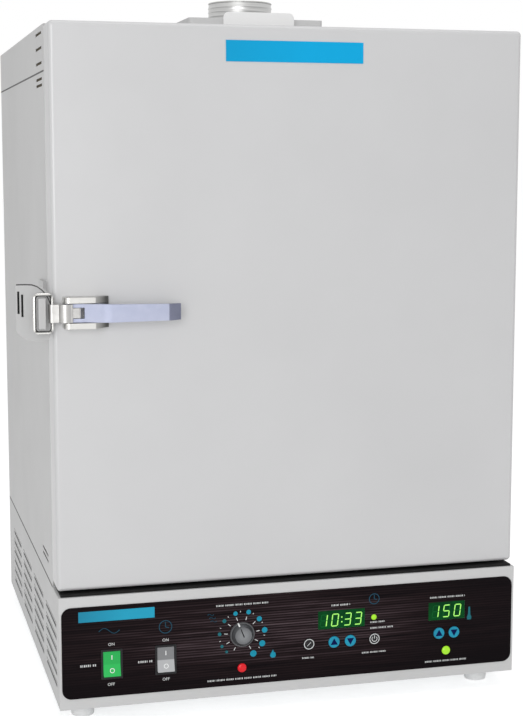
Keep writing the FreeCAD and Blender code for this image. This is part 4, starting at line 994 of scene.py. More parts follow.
    def lathe(
        self, profile: Sequence[Spot], centre: Point, steps: int = 48, axis: Axis = Axis.Y
    ) -> None:
        """Adds a turned shape.

        Args:
            profile: Radius and height of its outline, from one end to the other.
            centre: The point where the height is 0.
            steps: Segments around.
            axis: The axis that it stands along, its heights growing that way.
        """
        before = set(self.bm.verts)
        line = [self.bm.verts.new((r, 0, h)) for r, h in profile]
        edges = [self.bm.edges.new(pair) for pair in zip(line, line[1:])]
        self.spin(line + edges, (0, 0, 0), (0, 0, 1), math.tau, steps)
        bmesh.ops.remove_doubles(self.bm, verts=self.added(before), dist=1e-4)
        self.move(before, Matrix.Translation(centre) @ axis.value)

    def rim(self, edges: list[Edge], size: float, lift: float) -> tuple[list[Vert], list[Edge]]:
        """Grows an open edge by one ring around the Z axis.

        Args:
            edges: The open edge.
            size: Factor of the new ring's radius.
            lift: Its height above the old one.

        Returns:
            The new ring's vertices and edges.
        """
        grown = bmesh.ops.extrude_edge_only(self.bm, edges=edges)["geom"]
        verts = [g for g in grown if isinstance(g, Vert)]
        bmesh.ops.scale(self.bm, vec=(size, size, 1), verts=verts)
        bmesh.ops.translate(self.bm, vec=(0, 0, lift), verts=verts)
        return verts, [g for g in grown if isinstance(g, Edge) and g.is_boundary]

    def screw(self, at: Point, radius: float = 3.4, height: float = 2.0) -> None:
        """Adds a pan-head screw with a cross recess, whose head faces the back.

        Args:
            at: The middle of the head's underside.
            radius: Radius of the head.
            height: Height of the head.
        """
        before = set(self.bm.verts)
        base = bmesh.ops.create_circle(self.bm, cap_ends=False, segments=24, radius=radius)
        edges = list({e for v in base["verts"] for e in v.link_edges})
        last, level = 1.0, 0.0
        for factor, high in self.dome:
            edges = self.rim(edges, factor / last, (high - level) * height)[1]
            last, level = factor, high
        verts, edges = self.rim(edges, 1.0, 0.0)
        between, arms, taper, deep = self.cross
        for vert in verts:
            pinch = between + arms * abs(math.cos(2 * math.atan2(vert.co.y, vert.co.x))) ** 3
            vert.co.x *= pinch
            vert.co.y *= pinch
        edges = self.rim(edges, taper, -deep * height)[1]
        bmesh.ops.holes_fill(self.bm, edges=edges, sides=0)
        turn = Vector((0, 1, 0)).to_track_quat("Z", "Y").to_matrix().to_4x4()
        self.move(before, Matrix.Translation(at) @ turn)

    def words(self, text: str, at: Spot, height: float, depth: Spot) -> None:
        """Adds plain generic letters or figures.

        Args:
            text: The letters.
            at: X and Z of their middle.
            height: Height of a capital.
            depth: Y of their front and back.
        """
        curve = bpy.data.curves.new("letters", "FONT")
        curve.body = text
        curve.size = height / self.capital
        curve.align_x = "CENTER"
        curve.align_y = "CENTER"
        curve.extrude = (depth[1] - depth[0]) / 2
        curve.resolution_u = 3
        self.take(curve, upright(at, depth))

    def tube(self, path: Sequence[Point], radius: float, closed: bool = False) -> None:
        """Adds a round wire along a path.

        Args:
            path: Points of its middle line.
            radius: Radius of the wire.
            closed: Whether its last point joins its first.
        """
        curve = bpy.data.curves.new("wire", "CURVE")
        curve.dimensions = "3D"
        curve.bevel_depth = radius
        curve.bevel_resolution = 4
        curve.use_fill_caps = not closed
        line = curve.splines.new("POLY")
        line.points.add(len(path) - 1)
        for point, place in zip(line.points, path):
            point.co = (*place, 1.0)
        line.use_cyclic_u = closed
        self.take(curve, Matrix.Identity(4))

    def take(self, curve: bpy.types.Curve, at: Matrix) -> None:
        """Adds the mesh of a text or curve, and removes the curve.

        Args:
            curve: The text or curve.
            at: Its turn and move.
        """
        holder = bpy.data.objects.new("holder", curve)
        mesh = bpy.data.meshes.new_from_object(holder)
        mesh.transform(at)
        self.bm.from_mesh(mesh)
        bpy.data.objects.remove(holder)
        bpy.data.curves.remove(curve)
        bpy.data.meshes.remove(mesh)

    def copy_of(self, node: str) -> list[Vert]:
        """Adds a merged copy of a CAD node's mesh.

        Args:
            node: Name of the CAD node.

        Returns:
            The new vertices.
        """
        before = set(self.bm.verts)
        mesh = frame["nodes"][node].data.copy()
        mesh.materials.clear()
        mesh.transform(Matrix.Scale(1 / MM, 4))
        self.bm.from_mesh(mesh)
        bpy.data.meshes.remove(mesh)
        bmesh.ops.remove_doubles(self.bm, verts=self.added(before), dist=1e-3)
        return self.added(before)

    def soften(self, verts: Iterable[Vert], radius: float, rounds: int) -> None:
        """Joins the flat triangles and rounds the edges sharper than 35 degrees.

        Args:
            verts: Vertices of the part.
            radius: Radius of the rounded edges.
            rounds: Segments of each rounded edge.
        """
        verts = list(verts)
        edges = list({e for v in verts for e in v.link_edges})
        bmesh.ops.dissolve_limit(
            self.bm, angle_limit=math.radians(1.0), use_dissolve_boundaries=False,
            verts=verts, edges=edges, delimit=set(),
        )
        sharp = math.radians(35)
        keen = [
            e for e in self.bm.edges if len(e.link_faces) == 2 and e.calc_face_angle(0.0) > sharp
        ]
        self.bevel(keen, radius, rounds, True)

    def finish(
        self,
        body: str,
        finish: Finish,
        slot: str,
        replaces: Sequence[str] = (),
        smooth: float = 35,
        outward: bool = False,
    ) -> None:
        """Turns the mesh into an object that rides on a body.

        Args:
            body: CAD body that it moves with.
            finish: Its surface.
            slot: The record's material slot. It is not used.
            replaces: CAD nodes that it stands for.
            smooth: Edges sharper than this angle stay crisp, in degrees.
            outward: Whether its faces are turned outwards again.
        """
        bmesh.ops.scale(self.bm, vec=(MM, MM, MM), verts=self.bm.verts)
        if outward:
            bmesh.ops.recalc_face_normals(self.bm, faces=self.bm.faces)
        for face in self.bm.faces:
            face.smooth = True
        for edge in self.bm.edges:
            angle = edge.calc_face_angle(0.0) if len(edge.link_faces) == 2 else 0.0
            edge.smooth = angle < math.radians(smooth)
        mesh = bpy.data.meshes.new(self.name)
        self.bm.to_mesh(mesh)
        self.bm.free()
        mesh.materials.append(finish.material())
        piece = put(self.name, mesh)
        even = piece.modifiers.new("even_normals", "WEIGHTED_NORMAL")
        even.keep_sharp = True
        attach(piece, body)
        if replaces:
            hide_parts(*replaces)
        log.info("%s: %d faces on %s", self.name, len(mesh.polygons), body)


def dress(finish: Finish, *nodes: str) -> None:
    """Gives CAD nodes their finish.

    Args:
        finish: The surface.
        nodes: Names of the CAD nodes.
    """
    for node in nodes:
        thing = frame["nodes"][node]
        thing.data.materials.clear()
        thing.data.materials.append(finish.material())


def refine(node: str, finish: Finish, slot: str, radius: float, rounds: int = 2) -> None:
    """Replaces a CAD node by a copy whose sharp edges are rounded.

    Args:
        node: Name of the CAD node.
        finish: Its surface.
        slot: The record's material slot.
        radius: Radius of the rounded edges, in millimetres.
        rounds: Segments of each rounded edge.
    """
    piece = Piece(node + "_soft")
    piece.soften(piece.copy_of(node), radius, rounds)
    piece.finish(frame["nodes"][node]["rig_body"], finish, slot, [node])


def corners_of(node: str) -> tuple[Vector, Vector]:
    """The lowest and highest corner of a CAD node, in millimetres."""
    low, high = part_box(node)
    return low / MM, high / MM


@dataclass
class Cabinet:
    """Painted sheet-metal case on its louvred base, with seams, screws and rear fittings."""

    edge: float = 0.7
    seam_depth: Spot = (0.5, 0.06)
    seam_halves: Spot = (1.3, 1.0)
    louvre_length: float = 97.0
    louvre_height: float = 4.2
    louvre_pitch: float = 14.2
    louvre_rise: float = 21.5
    louvre_setback: float = 15.0
    louvre_spacing: float = 127.5
    louvre_columns: int = 4
    louvre_rows: int = 6
    lip: float = 0.35
    lip_out: float = 0.3
    # Depth and margin of the dark screens behind the louvres: painted shade
    shade_screen_depth: Spot = (1.3, 2.0)
    shade_screen_margin: Spot = (4.0, 3.0)
    rear_sides: Spot = (-266, 266)
    rear_rows: Sequence[float] = (190, 360, 560, 720)
    rear_low: Sequence[Spot] = ((-136, 180), (0, 180), (136, 180))
    # Front and back of the black strip under the door: painted shade
    sill: Spot = (-268.8, -224.0)
    sill_height: float = 2.6
    label: Spot = (MIDDLE - 150, 640.0)
    label_half: Spot = (45.0, 27.0)
    label_rivet: Spot = (41.5, 23.5)
    rivet: Sequence[Spot] = ((2.0, 0.3), (1.9, 0.75), (1.3, 1.2), (0.0, 1.35))
    bars_from: Spot = (-37.0, 19.0)
    bar_half: float = 0.7
    bar_gap: float = 3.0
    bar_pitch: float = 7.2
    label_words: Sequence[Sequence[float]] = (
        (16, 9, 14), (12, 20, 8), (9, 13, 17, 6), (18, 7, 12), (11, 15), (14, 8, 19)
    )
    fuses: Sequence[float] = (MIDDLE + 122, MIDDLE + 92)
    earth: float = MIDDLE + 244
    fittings_z: float = 65.0

    def build(self) -> None:
        """Dresses the case and adds what sits on it."""
        for node in ("side_panel_left", "side_panel_right", "top_cap", "rear_panel"):
            refine(node, CABINET_PAINT, "cabinet_paint", self.edge)
        refine("base_housing", CABINET_PAINT, "cabinet_paint", 1.0)
        refine("front_frame", STAINLESS, "stainless", 0.4)
        dress(GALVANISED, "cabinet_deck", "base_floor")
        dress(WOOL, "insulation_jacket")
        screws = Piece("rear_panel_screws")
        rows = [(x, z) for x in self.rear_sides for z in self.rear_rows]
        for x, z in (*rows, *self.rear_low):
            screws.screw((MIDDLE + x, BACK, z))
        screws.finish("cabinet", NICKEL, "latch_chrome")
        self.seams()
        self.louvres()
        self.sill_painted_shade_strip()
        self.rear_label()
        self.rear_fittings()

    def seams(self) -> None:
        """Adds dark strips in the joins of the side panels, as painted shade."""
        strips = Piece("seam_painted_shade_strips")
        front, back = CABINET_FRONT + 1, BACK - 1
        joins = (BASE_TOP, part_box("top_cap")[0].z / MM)
        sunk, proud = self.seam_depth
        for x, out in ((LEFT, -1), (RIGHT, 1)):
            low, high = sorted((x - sunk * out, x + proud * out))
            for z, half in zip(joins, self.seam_halves):
                strips.block((low, front, z - half), (high, back, z + half), 0.05, 1)
        strips.finish("cabinet", SHADE_LINE, "gasket")

    def columns(self) -> Iterator[tuple[float, int, float]]:
        """Goes through the columns of louvres.

        Yields:
            X of the side, the way into the case, and Y of the slots' front ends.
        """
        for side, inward in ((LEFT, 1), (RIGHT, -1)):
            for column in range(self.louvre_columns):
                yield side, inward, FRONT + self.louvre_setback + self.louvre_spacing * column

    def louvres(self) -> None:
        """Adds the lips along the slots in the base's sides, dark grey as painted shade, and dark
        screens behind them as painted shade inside the base.
        """
        lips, lip, out = Piece("louvre_lips"), self.lip, self.lip_out
        first = BASE_BOTTOM + self.louvre_rise
        for side, _, y in self.columns():
            for row in range(self.louvre_rows):
                z = first + self.louvre_pitch * row
                for edge in (z - lip, z + self.louvre_height + lip):
                    low = (side - out, y - out, edge - lip)
                    lips.block(low, (side + out, y + self.louvre_length + out, edge + lip), 0.2)
        lips.finish("cabinet", LIP_SHADE, "galvanised", smooth=50)
        shade_screens = Piece("louvre_painted_shade_screens")
        along, over = self.shade_screen_margin
        top = first + self.louvre_pitch * (self.louvre_rows - 1) + self.louvre_height + over
        for side, inward, y in self.columns():
            near, far = sorted(side + deep * inward for deep in self.shade_screen_depth)
            high = (far, y + self.louvre_length + along, top)
            shade_screens.block((near, y - along, first - over), high, 0.3)
        shade_screens.finish("cabinet", SLOT_DARK, "black_plastic")

    def sill_painted_shade_strip(self) -> None:
        """Adds a black strip on the base under the door, painted shade for the dark gap below the
        door.
        """
        strip = Piece("sill_painted_shade_strip")
        front, back = self.sill
        low = (LEFT + 3, front, BASE_TOP - 0.1)
        strip.block(low, (RIGHT - 3, back, BASE_TOP + self.sill_height), 0.7)
        strip.finish("cabinet", SLOT_DARK, "black_plastic")

    def rear_label(self) -> None:
        """Adds a bare foil plate with four rivets and rows of thin bars to the back."""
        x, z = self.label
        wide, tall = self.label_half
        plate = Piece("rear_rating_plate")
        low, high = (x - wide, BACK - 0.05, z - tall), (x + wide, BACK + 0.35, z + tall)
        plate.block(low, high, 0.15, 1)
        plate.finish("cabinet", ALUMINIUM_FOIL, "galvanised")
        bars = Piece("rear_plate_bars")
        half = self.bar_half
        for row, words in enumerate(self.label_words):
            start, level = x + self.bars_from[0], z + self.bars_from[1] - self.bar_pitch * row
            for length in words:
                low = (start, BACK + 0.3, level - half)
                bars.block(low, (start + length, BACK + 0.42, level + half))
                start += length + self.bar_gap
        bars.finish("cabinet", SLOT_DARK, "black_plastic")
        rivets = Piece("rear_plate_rivets")
        across, up = self.label_rivet
        for side in (-across, across):
            for rise in (-up, up):
                rivets.lathe(self.rivet, (x + side, BACK, z + rise), 20)
        rivets.finish("cabinet", NICKEL, "latch_chrome", outward=True)

    def rear_fittings(self) -> None:
        """Adds two flush fuse caps and an earth stud with its nut beside the power inlet."""
        caps, z = Piece("rear_fuse_caps"), self.fittings_z
        for x in self.fuses:
            caps.lathe([(8.4, -0.4), (8.4, 0.9), (7.9, 1.3), (6.3, 1.3), (6.3, -0.4)], (x, BACK, z))
            caps.lathe([(5.9, -0.4), (5.9, 2.1), (5.3, 2.6), (0.0, 2.6)], (x, BACK, z))
            caps.block((x - 4.2, BACK + 2.5, z - 0.7), (x + 4.2, BACK + 2.8, z + 0.7), 0.1, 1)
        caps.finish("cabinet", BLACK_PLASTIC, "black_plastic", outward=True)
        stud = Piece("rear_earth_stud")
        for profile, sides in (
            ([(5.2, -0.3), (5.2, 0.6), (4.9, 0.8), (2.4, 0.8)], 48),
            ([(4.4, 0.8), (4.5, 1.0), (4.5, 2.0), (4.1, 2.3), (2.3, 2.3)], 6),
            ([(2.1, 0.5), (2.1, 2.6), (1.7, 2.9), (0.0, 2.9)], 24),
        ):
            stud.lathe(profile, (self.earth, BACK, z), sides)
        stud.finish("cabinet", BRASS, "galvanised", smooth=25, outward=True)


@dataclass
class Feet:
    """Levelling feet: a moulded pad on a plated stud."""

    def build(self) -> None:
        """Softens the feet."""
        refine("levelling_feet", FOOT_PLASTIC, "foot", 0.8)


@dataclass
class Chamber:
    """Stainless chamber with its shelves, heater and probes."""

    def build(self) -> None:
        """Dresses the chamber."""
        dress(
            STAINLESS, "chamber_liner", "chamber_probes", "shelf_standards", "shelf_clips",
            "lower_shelf", "upper_shelf", "diffuser_plate", "element_brackets",
        )
        dress(SHEATH, "heating_element")


@dataclass
class Door:
    """Painted door with its badge, its stainless inner panel, gasket, insulation and hinges."""

    screw_inset: float = 14.0
    screw_radius: float = 3.2
    screw_height: float = 1.3

    def build(self) -> None:
        """Dresses the door."""
        refine("door_outer_pan", DOOR_PAINT, "door_paint", 0.5)
        refine("door_inner_panel", STAINLESS, "stainless", 0.5)
        dress(WOOL, "door_insulation")
        refine("door_gasket", SEAL, "gasket", 2.5, 3)
        refine("door_badge", DOOR_BADGE, "badge_blue", 0.3)
        refine("hinge_door_leaves", DOOR_PAINT, "door_paint", 0.3)
        refine("hinge_cabinet_leaves", CABINET_PAINT, "cabinet_paint", 0.3)
        refine("hinge_pins", SATIN_NICKEL, "galvanised", 0.3)
        self.fasteners()

    def fasteners(self) -> None:
        """Adds the low screws that hold the inner panel, between the gasket and its edge."""
        low, high = corners_of("door_inner_panel")
        left, right = low.x + self.screw_inset, high.x - self.screw_inset
        foot, head = low.z + self.screw_inset, high.z - self.screw_inset
        up = [foot + (head - foot) * step / 4 for step in range(5)]
        across = [left + (right - left) * step / 4 for step in range(1, 4)]
        places = [(x, z) for z in up for x in (left, right)]
        places += [(x, z) for x in across for z in (foot, head)]
        screws = Piece("door_panel_screws")
        for x, z in places:
            screws.screw((x, high.y, z), self.screw_radius, self.screw_height)
        screws.finish("door", NICKEL, "latch_chrome")


@dataclass
class Latch:
    """Lever latch: base, lever, link and wire ring on the door, and the cabinet's keeper."""

    tip_length: float = 14.6
    tip_gauge: float = 0.12
    ring_wire: float = 1.9
    ring_corner: float = 5.0
    keeper_front: float = -261.5
    # Radius of the painted shadow line along the keeper's top
    shadow_radius: float = 0.75
    keeper_top: Sequence[Spot] = (
        (-39.4, 31.3), (-30, 31.4), (-22, 31.0), (-16.5, 29.0), (-11, 25.0), (-7, 20.4),
        (-4, 15.2), (-2.2, 10.0),
    )
    keeper_slots: Sequence[Spot] = ((-38.4, -1.0), (-34.2, -4.5))
    slot_size: Spot = (2.4, 25.0)
    slot_sunk: float = 0.5
    slot_deep: float = 2.5
    slot_fit: float = 0.05

    def build(self) -> None:
        """Dresses the latch."""
        refine("latch_base", BASE_NICKEL, "latch_chrome", 0.5)
        refine("lever_pivot_pins", NICKEL, "latch_chrome", 0.3)
        refine("latch_screws", NICKEL, "latch_chrome", 0.3)
        refine("latch_lever", LEVER_PLATE, "latch_chrome", 0.6)
        self.tip()
        refine("link_pin", NICKEL, "latch_chrome", 0.2)
        refine("latch_link", LINK_NICKEL, "latch_chrome", 0.5)
        self.ring()
        refine("latch_keeper", KEEPER_PAINT, "cabinet_paint", 0.6)
        self.slot_shade_fill()
        self.keeper_shadow_line()
        refine("keeper_screws", NICKEL, "latch_chrome", 0.3)

    def tip(self) -> None:
        """Adds a thin sleeve over the lever's last stretch, painted darker as shade for the dark
        reflection on its end.
        """
        sleeve = Piece("latch_lever_tip_painted_shade")
        sleeve.copy_of("latch_lever")
        bm = sleeve.bm
        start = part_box("latch_lever")[1].x / MM - self.tip_length
        bmesh.ops.bisect_plane(
            bm, geom=[*bm.verts, *bm.edges, *bm.faces], plane_co=(start, 0, 0),
            plane_no=(1, 0, 0), clear_inner=True,
        )
        bmesh.ops.recalc_face_normals(bm, faces=bm.faces)
        for vert in list(bm.verts):
            vert.co += vert.normal * self.tip_gauge
        sleeve.finish("lever", LEVER_TIP_SHADE, "latch_chrome")

    def ring(self) -> None:
        """Replaces the ring by one smooth closed wire of the same size."""
        low, high = corners_of("latch_ring")
        inset = self.ring_wire + self.ring_corner
        right, left = high.x - inset, low.x + inset
        top, foot = high.z - inset, low.z + inset
        path = []
        for turn, x, z in ((0, right, top), (90, left, top), (180, left, foot), (270, right, foot)):
            centre = Vector((x, (low.y + high.y) / 2, z))
            for step in range(9):
                angle = math.radians(turn + 90 * step / 8)
                out = Vector((math.cos(angle), 0, math.sin(angle)))
                path.append(centre + out * self.ring_corner)
        ring = Piece("latch_ring_wire")
        ring.tube(path, self.ring_wire, closed=True)
        ring.finish("ring", RING_NICKEL, "latch_chrome", ["latch_ring"])

    def slot_shade_fill(self) -> None:
        """Fills the keeper's two slots with black blocks, a little below its face, as painted shade
        in the slots.
        """
        fill, fit = Piece("keeper_slot_painted_shade"), self.slot_fit
        wide, tall = self.slot_size
        for x, z in self.keeper_slots:
            low = Vector((LEFT + x, self.keeper_front + self.slot_sunk, LATCH_Z + z))
            high = low + Vector((wide - fit, self.slot_deep, tall - fit))
            fill.block(low + Vector((fit, 0, fit)), high, 0.2)
        fill.finish("cabinet", SLOT_DARK, "black_plastic")

    def keeper_shadow_line(self) -> None:
        """Adds a grey line along the keeper's curved top: painted shadow under its edge."""
        seal = Piece("keeper_top_painted_shadow")
        y = self.keeper_front + 0.4
        seal.tube([(LEFT + x, y, LATCH_Z + z) for x, z in self.keeper_top], self.shadow_radius)
        seal.finish("cabinet", SHADE_LINE, "gasket")


@dataclass
class Vent:
    """Vent cover on the roof with its chimney and damper."""

    gauge: float = 1.2
    bead: float = 0.5
    roll: float = 1.0

    def build(self) -> None:
        """Dresses the vent."""
        refine("vent_cover", CABINET_PAINT, "cabinet_paint", 0.5)
        self.chimney()
        dress(GALVANISED, "flue_tube", "damper_rails")
        refine("damper_slide", LIT_LIP_PAINT, "cabinet_paint", 0.4)

    def chimney(self) -> None:
        """Replaces the chimney by a spun collar with a rolled top and three beads."""
        low, high = corners_of("vent_chimney")
        middle = (low + high) / 2
        tall = high.z - low.z
        radius = (high.x - low.x) / 2
        inner, wall = radius - self.gauge, radius - self.bead
        profile = [(inner, 0.0), (wall, 0.0), (wall, tall * 0.24)]
        for step in range(3):
            z = tall * (0.34 + 0.2 * step)
            profile += [(wall, z - 1.3), (radius, z - 0.5), (radius, z + 0.5), (wall, z + 1.3)]
        for step in range(9):
            angle = math.radians(-90 + 22.5 * step)
            across, up = math.cos(angle) * self.roll, math.sin(angle) * self.roll
            profile.append((radius - self.roll + across, tall - self.roll + up))
        profile += [(inner, tall - self.gauge), (inner, 0.0)]
        collar = Piece("chimney_collar")
        collar.lathe(profile, (middle.x, middle.y, low.z), 96, Axis.Z)
        collar.finish("cabinet", SPUN_COLLAR, "stainless", ["vent_chimney"], 40, outward=True)


@dataclass
class Displays:
    """Two lit seven-segment displays behind green windows."""

    depth: Spot = (-272.62, -272.42)
    slant: float = 0.12
    wide: float = 7.4
    tall: float = 14.4
    bar: float = 0.088
    gap: float = 0.24
    colon: Sequence[Spot] = ((58.0, 79.2), (58.0, 85.0))
    rows: Sequence[tuple[str, float, Sequence[tuple[str, float]]]] = (
        ("timer", 74.8, (("1", 31.0), ("0", 45.0), ("3", 60.8), ("3", 74.0))),
        ("temperature", 75.2, (("1", 173.0), ("5", 187.0), ("0", 201.2))),
    )

    def digit(self, piece: Piece, x: float, z: float, lit: str) -> None:
        """Adds some segments of one digit.

        Args:
            piece: The mesh to add to.
            x: X of the digit's left side at its foot.
            z: Z of its foot.
            lit: Letters a to g of the segments.
        """
        wide, tall, half = self.wide, self.tall, self.tall / 2
        bars = {
            "a": ((0, tall), (wide, tall)), "b": ((wide, half), (wide, tall)),
            "c": ((wide, 0), (wide, half)), "d": ((0, 0), (wide, 0)),
            "e": ((0, 0), (0, half)), "f": ((0, half), (0, tall)), "g": ((0, half), (wide, half)),
        }
        side = tall * self.bar / 2
        gap = side * self.gap
        for name in lit:
            (u0, v0), (u1, v1) = bars[name]
            length = math.hypot(u1 - u0, v1 - v0)
            along = ((u1 - u0) / length, (v1 - v0) / length)
            first, last = gap, length - gap
            outline = []
            for s, d in (
                (first, 0), (first + side, side), (last - side, side),
                (last, 0), (last - side, -side), (first + side, -side),
            ):
                u = u0 + along[0] * s - along[1] * d
                v = v0 + along[1] * s + along[0] * d
                outline.append((x + u + v * self.slant, z + v))
            piece.plate(outline, self.depth)

    def build(self) -> None:
        """Adds the windows and their figures."""
        refine("timer_display", WINDOW, "display", 0.3)
        refine("temperature_display", WINDOW, "display", 0.3)
        figures = {"0": "abcdef", "1": "bc", "3": "abgcd", "5": "afgcd"}
        for name, foot, digits in self.rows:
            lit, unlit = Piece(name + "_figures"), Piece(name + "_unlit_segments")
            for figure, x in digits:
                on = figures[figure]
                off = "".join(letter for letter in "abcdefg" if letter not in on)
                self.digit(lit, MIDDLE + x, BASE_BOTTOM + foot, on)
                self.digit(unlit, MIDDLE + x, BASE_BOTTOM + foot, off)
            if name == "timer":
                for x, z in self.colon:
                    lit.dot((MIDDLE + x, BASE_BOTTOM + z), 0.9, self.depth)
            lit.finish("cabinet", SEGMENTS, "display", outward=True)
            unlit.finish("cabinet", DIM_SEGMENTS, "display", outward=True)


def on_panel(x: float, z: float) -> Spot:
    """Turns a place on the panel, from the oven's middle and the base's foot, into X and Z."""
    return (MIDDLE + x, BASE_BOTTOM + z)


def shape_on_panel(points: Iterable[Spot], x: float = 0.0, z: float = 0.0) -> list[Spot]:
    """Turns points around a place on the panel into X and Z."""
    return [on_panel(x + u, z + v) for u, v in points]


def ripple(start: Spot, length: float, height: float, steps: int) -> list[Spot]:
    """Gives one period of a sine wave from a start, as points of a number of steps."""
    return [
        (start[0] + length * i / steps, start[1] + height * math.sin(math.tau * i / steps))
        for i in range(steps + 1)
    ]


@dataclass
class Print:
    """Screen print on the overlay: captions as bars, switch words, dial and icons."""

    depth: Spot = (OVERLAY - 0.07, OVERLAY + 0.02)
    captions: Sequence[tuple[float, float, float, float]] = (
        (-255.7, -237.0, 51.0, 2.6), (-188.8, -172.3, 50.4, 2.4), (-95.9, -33.3, 110.0, 2.0),
        (-106.7, -22.4, 20.2, 2.0), (45.0, 69.0, 100.2, 2.0), (94.0, 112.0, 75.8, 1.9),
        (94.0, 123.0, 68.6, 1.9), (8.8, 23.8, 38.4, 1.9), (83.6, 115.0, 38.8, 1.9),
        (170.0, 215.0, 100.2, 2.0), (164.6, 218.4, 20.4, 2.0),
    )
    bars: Sequence[float] = (1.0, 0.62, 1.25, 0.8, 1.1, 0.55, 0.95)
    shortest: float = 0.4
    # Bars of a word, and the gaps after a bar and after a word as shares of their height
    word: int = 6
    bar_gap: float = 0.38
    word_gap: float = 0.95
    switch_words: Sequence[tuple[str, float, float]] = (
        ("ON", -219.7, 74.2), ("OFF", -220.3, 26.8), ("ON", -156.4, 74.2), ("OFF", -156.1, 27.3),
    )
    dial: Spot = (-65.0, 74.0)
    # Count, first angle, step, inner and outer radius and width of the dial's ticks
    ticks: Sequence[tuple[int, float, float, float, float, float]] = (
        (10, 242.6, 33.64, 17.6, 21.2, 0.8), (9, 228, 33.6, 26.8, 27.9, 0.7),
    )
    dots: Sequence[tuple[float, float, float]] = (
        (-83.6, 53.9, 1.7), (-89.2, 60.9, 1.9), (-92.0, 75.9, 2.2), (-86.2, 91.3, 2.4),
        (-72.8, 99.3, 2.6), (-56.9, 100.0, 2.8), (-44.0, 90.9, 3.1), (-37.5, 76.9, 3.4),
        (-40.4, 60.8, 3.7), (-51.3, 49.3, 3.9),
    )
    dim_dots: int = 4
    thermometer_at: Spot = (221.2, 72.0)
    thermometer: Sequence[Spot] = (
        (-1.1, 13.5), (1.1, 13.5), (1.5, 4.0), (3.0, 0.5), (2.4, -2.6), (-2.4, -2.6),
        (-3.0, 0.5), (-1.5, 4.0),
    )
    drop_at: Spot = (-27.3, 46.7)
    drop: Sequence[Spot] = (
        (0.0, -4.6), (2.4, -3.9), (3.5, -1.8), (3.1, 0.6), (1.9, 2.6), (1.2, 1.2),
        (0.2, 5.6), (-1.6, 2.4), (-3.0, 0.4), (-3.5, -1.8), (-2.4, -3.9),
    )
    clocks: Sequence[tuple[float, float, float]] = ((-156.3, 90.0, 7.4), (98.6, 104.4, 6.2))
    wave_at: Spot = (-233.7, 90.5)
    flow_lines: Sequence[Spot] = ((-106, 100), (-104, 96), (-102.5, 92))

    def build(self) -> None:
        """Adds all the print."""
        self.caption_bars()
        self.white_print()
        self.cyan_print()
        self.teal_print()

    def caption_bars(self) -> None:
        """Adds rows of short bars where captions stand, so that no words are drawn."""
        piece = Piece("caption_print")
        near, far = self.depth
        for start, end, z, tall in self.captions:
            x, step = start, 0
            while x < end - self.shortest:
                wide = min(tall * self.bars[step % len(self.bars)] * 0.5, end - x)
                x0, z0 = on_panel(x, z - tall * 0.5)
                piece.block((x0, near, z0), (x0 + wide, far, z0 + tall))
                step += 1
                x += wide + tall * (self.bar_gap if step % self.word else self.word_gap)
        piece.finish("cabinet", CAPTION_INK, "panel_film", outward=True)

    def white_print(self) -> None:
        """Adds the words on the switches and the dial's ticks."""
        piece = Piece("white_print")
        for text, x, z in self.switch_words:
            piece.words(text, on_panel(x, z), 3.4, self.depth)
        for count, first, pitch, inner, outer, width in self.ticks:
            for step in range(count):
                angle = math.radians(first - step * pitch)
                ends = [(math.cos(angle) * r, math.sin(angle) * r) for r in (inner, outer)]
                piece.stroke(shape_on_panel(ends, *self.dial), width, self.depth)
        piece.finish("cabinet", WHITE_INK, "panel_film", outward=True)

    def cyan_print(self) -> None:
        """Adds the dial's dots, the thermometer and the drop."""
        dim, bright = Piece("dim_cyan_print"), Piece("cyan_print")
        for step, (x, z, radius) in enumerate(self.dots):
            (dim if step < self.dim_dots else bright).dot(on_panel(x, z), radius, self.depth)
        dim.plate(shape_on_panel(self.thermometer, *self.thermometer_at), self.depth)
        dim.finish("cabinet", DIM_INK, "key_cyan", outward=True)
        bright.plate(shape_on_panel(self.drop, *self.drop_at), self.depth)
        bright.finish("cabinet", CYAN_INK, "key_cyan", outward=True)

    def teal_print(self) -> None:
        """Adds the fainter icons: sine wave, clocks and flow lines."""
        piece = Piece("teal_print")
        piece.stroke(shape_on_panel(ripple(self.wave_at, 23.4, 3.2, 16)), 0.9, self.depth)
        for x, z, radius in self.clocks:
            piece.washer(on_panel(x, z), radius, 0.8, self.depth)
            hands = [(0, radius * 0.75), (0, 0), (radius * 0.5, -radius * 0.15)]
            piece.stroke(shape_on_panel(hands, x, z), 0.8, self.depth)
        for start in self.flow_lines:
            piece.stroke(shape_on_panel(ripple(start, 7, 0.9, 8)), 0.8, self.depth)
        piece.finish("cabinet", TEAL_INK, "key_cyan", outward=True)


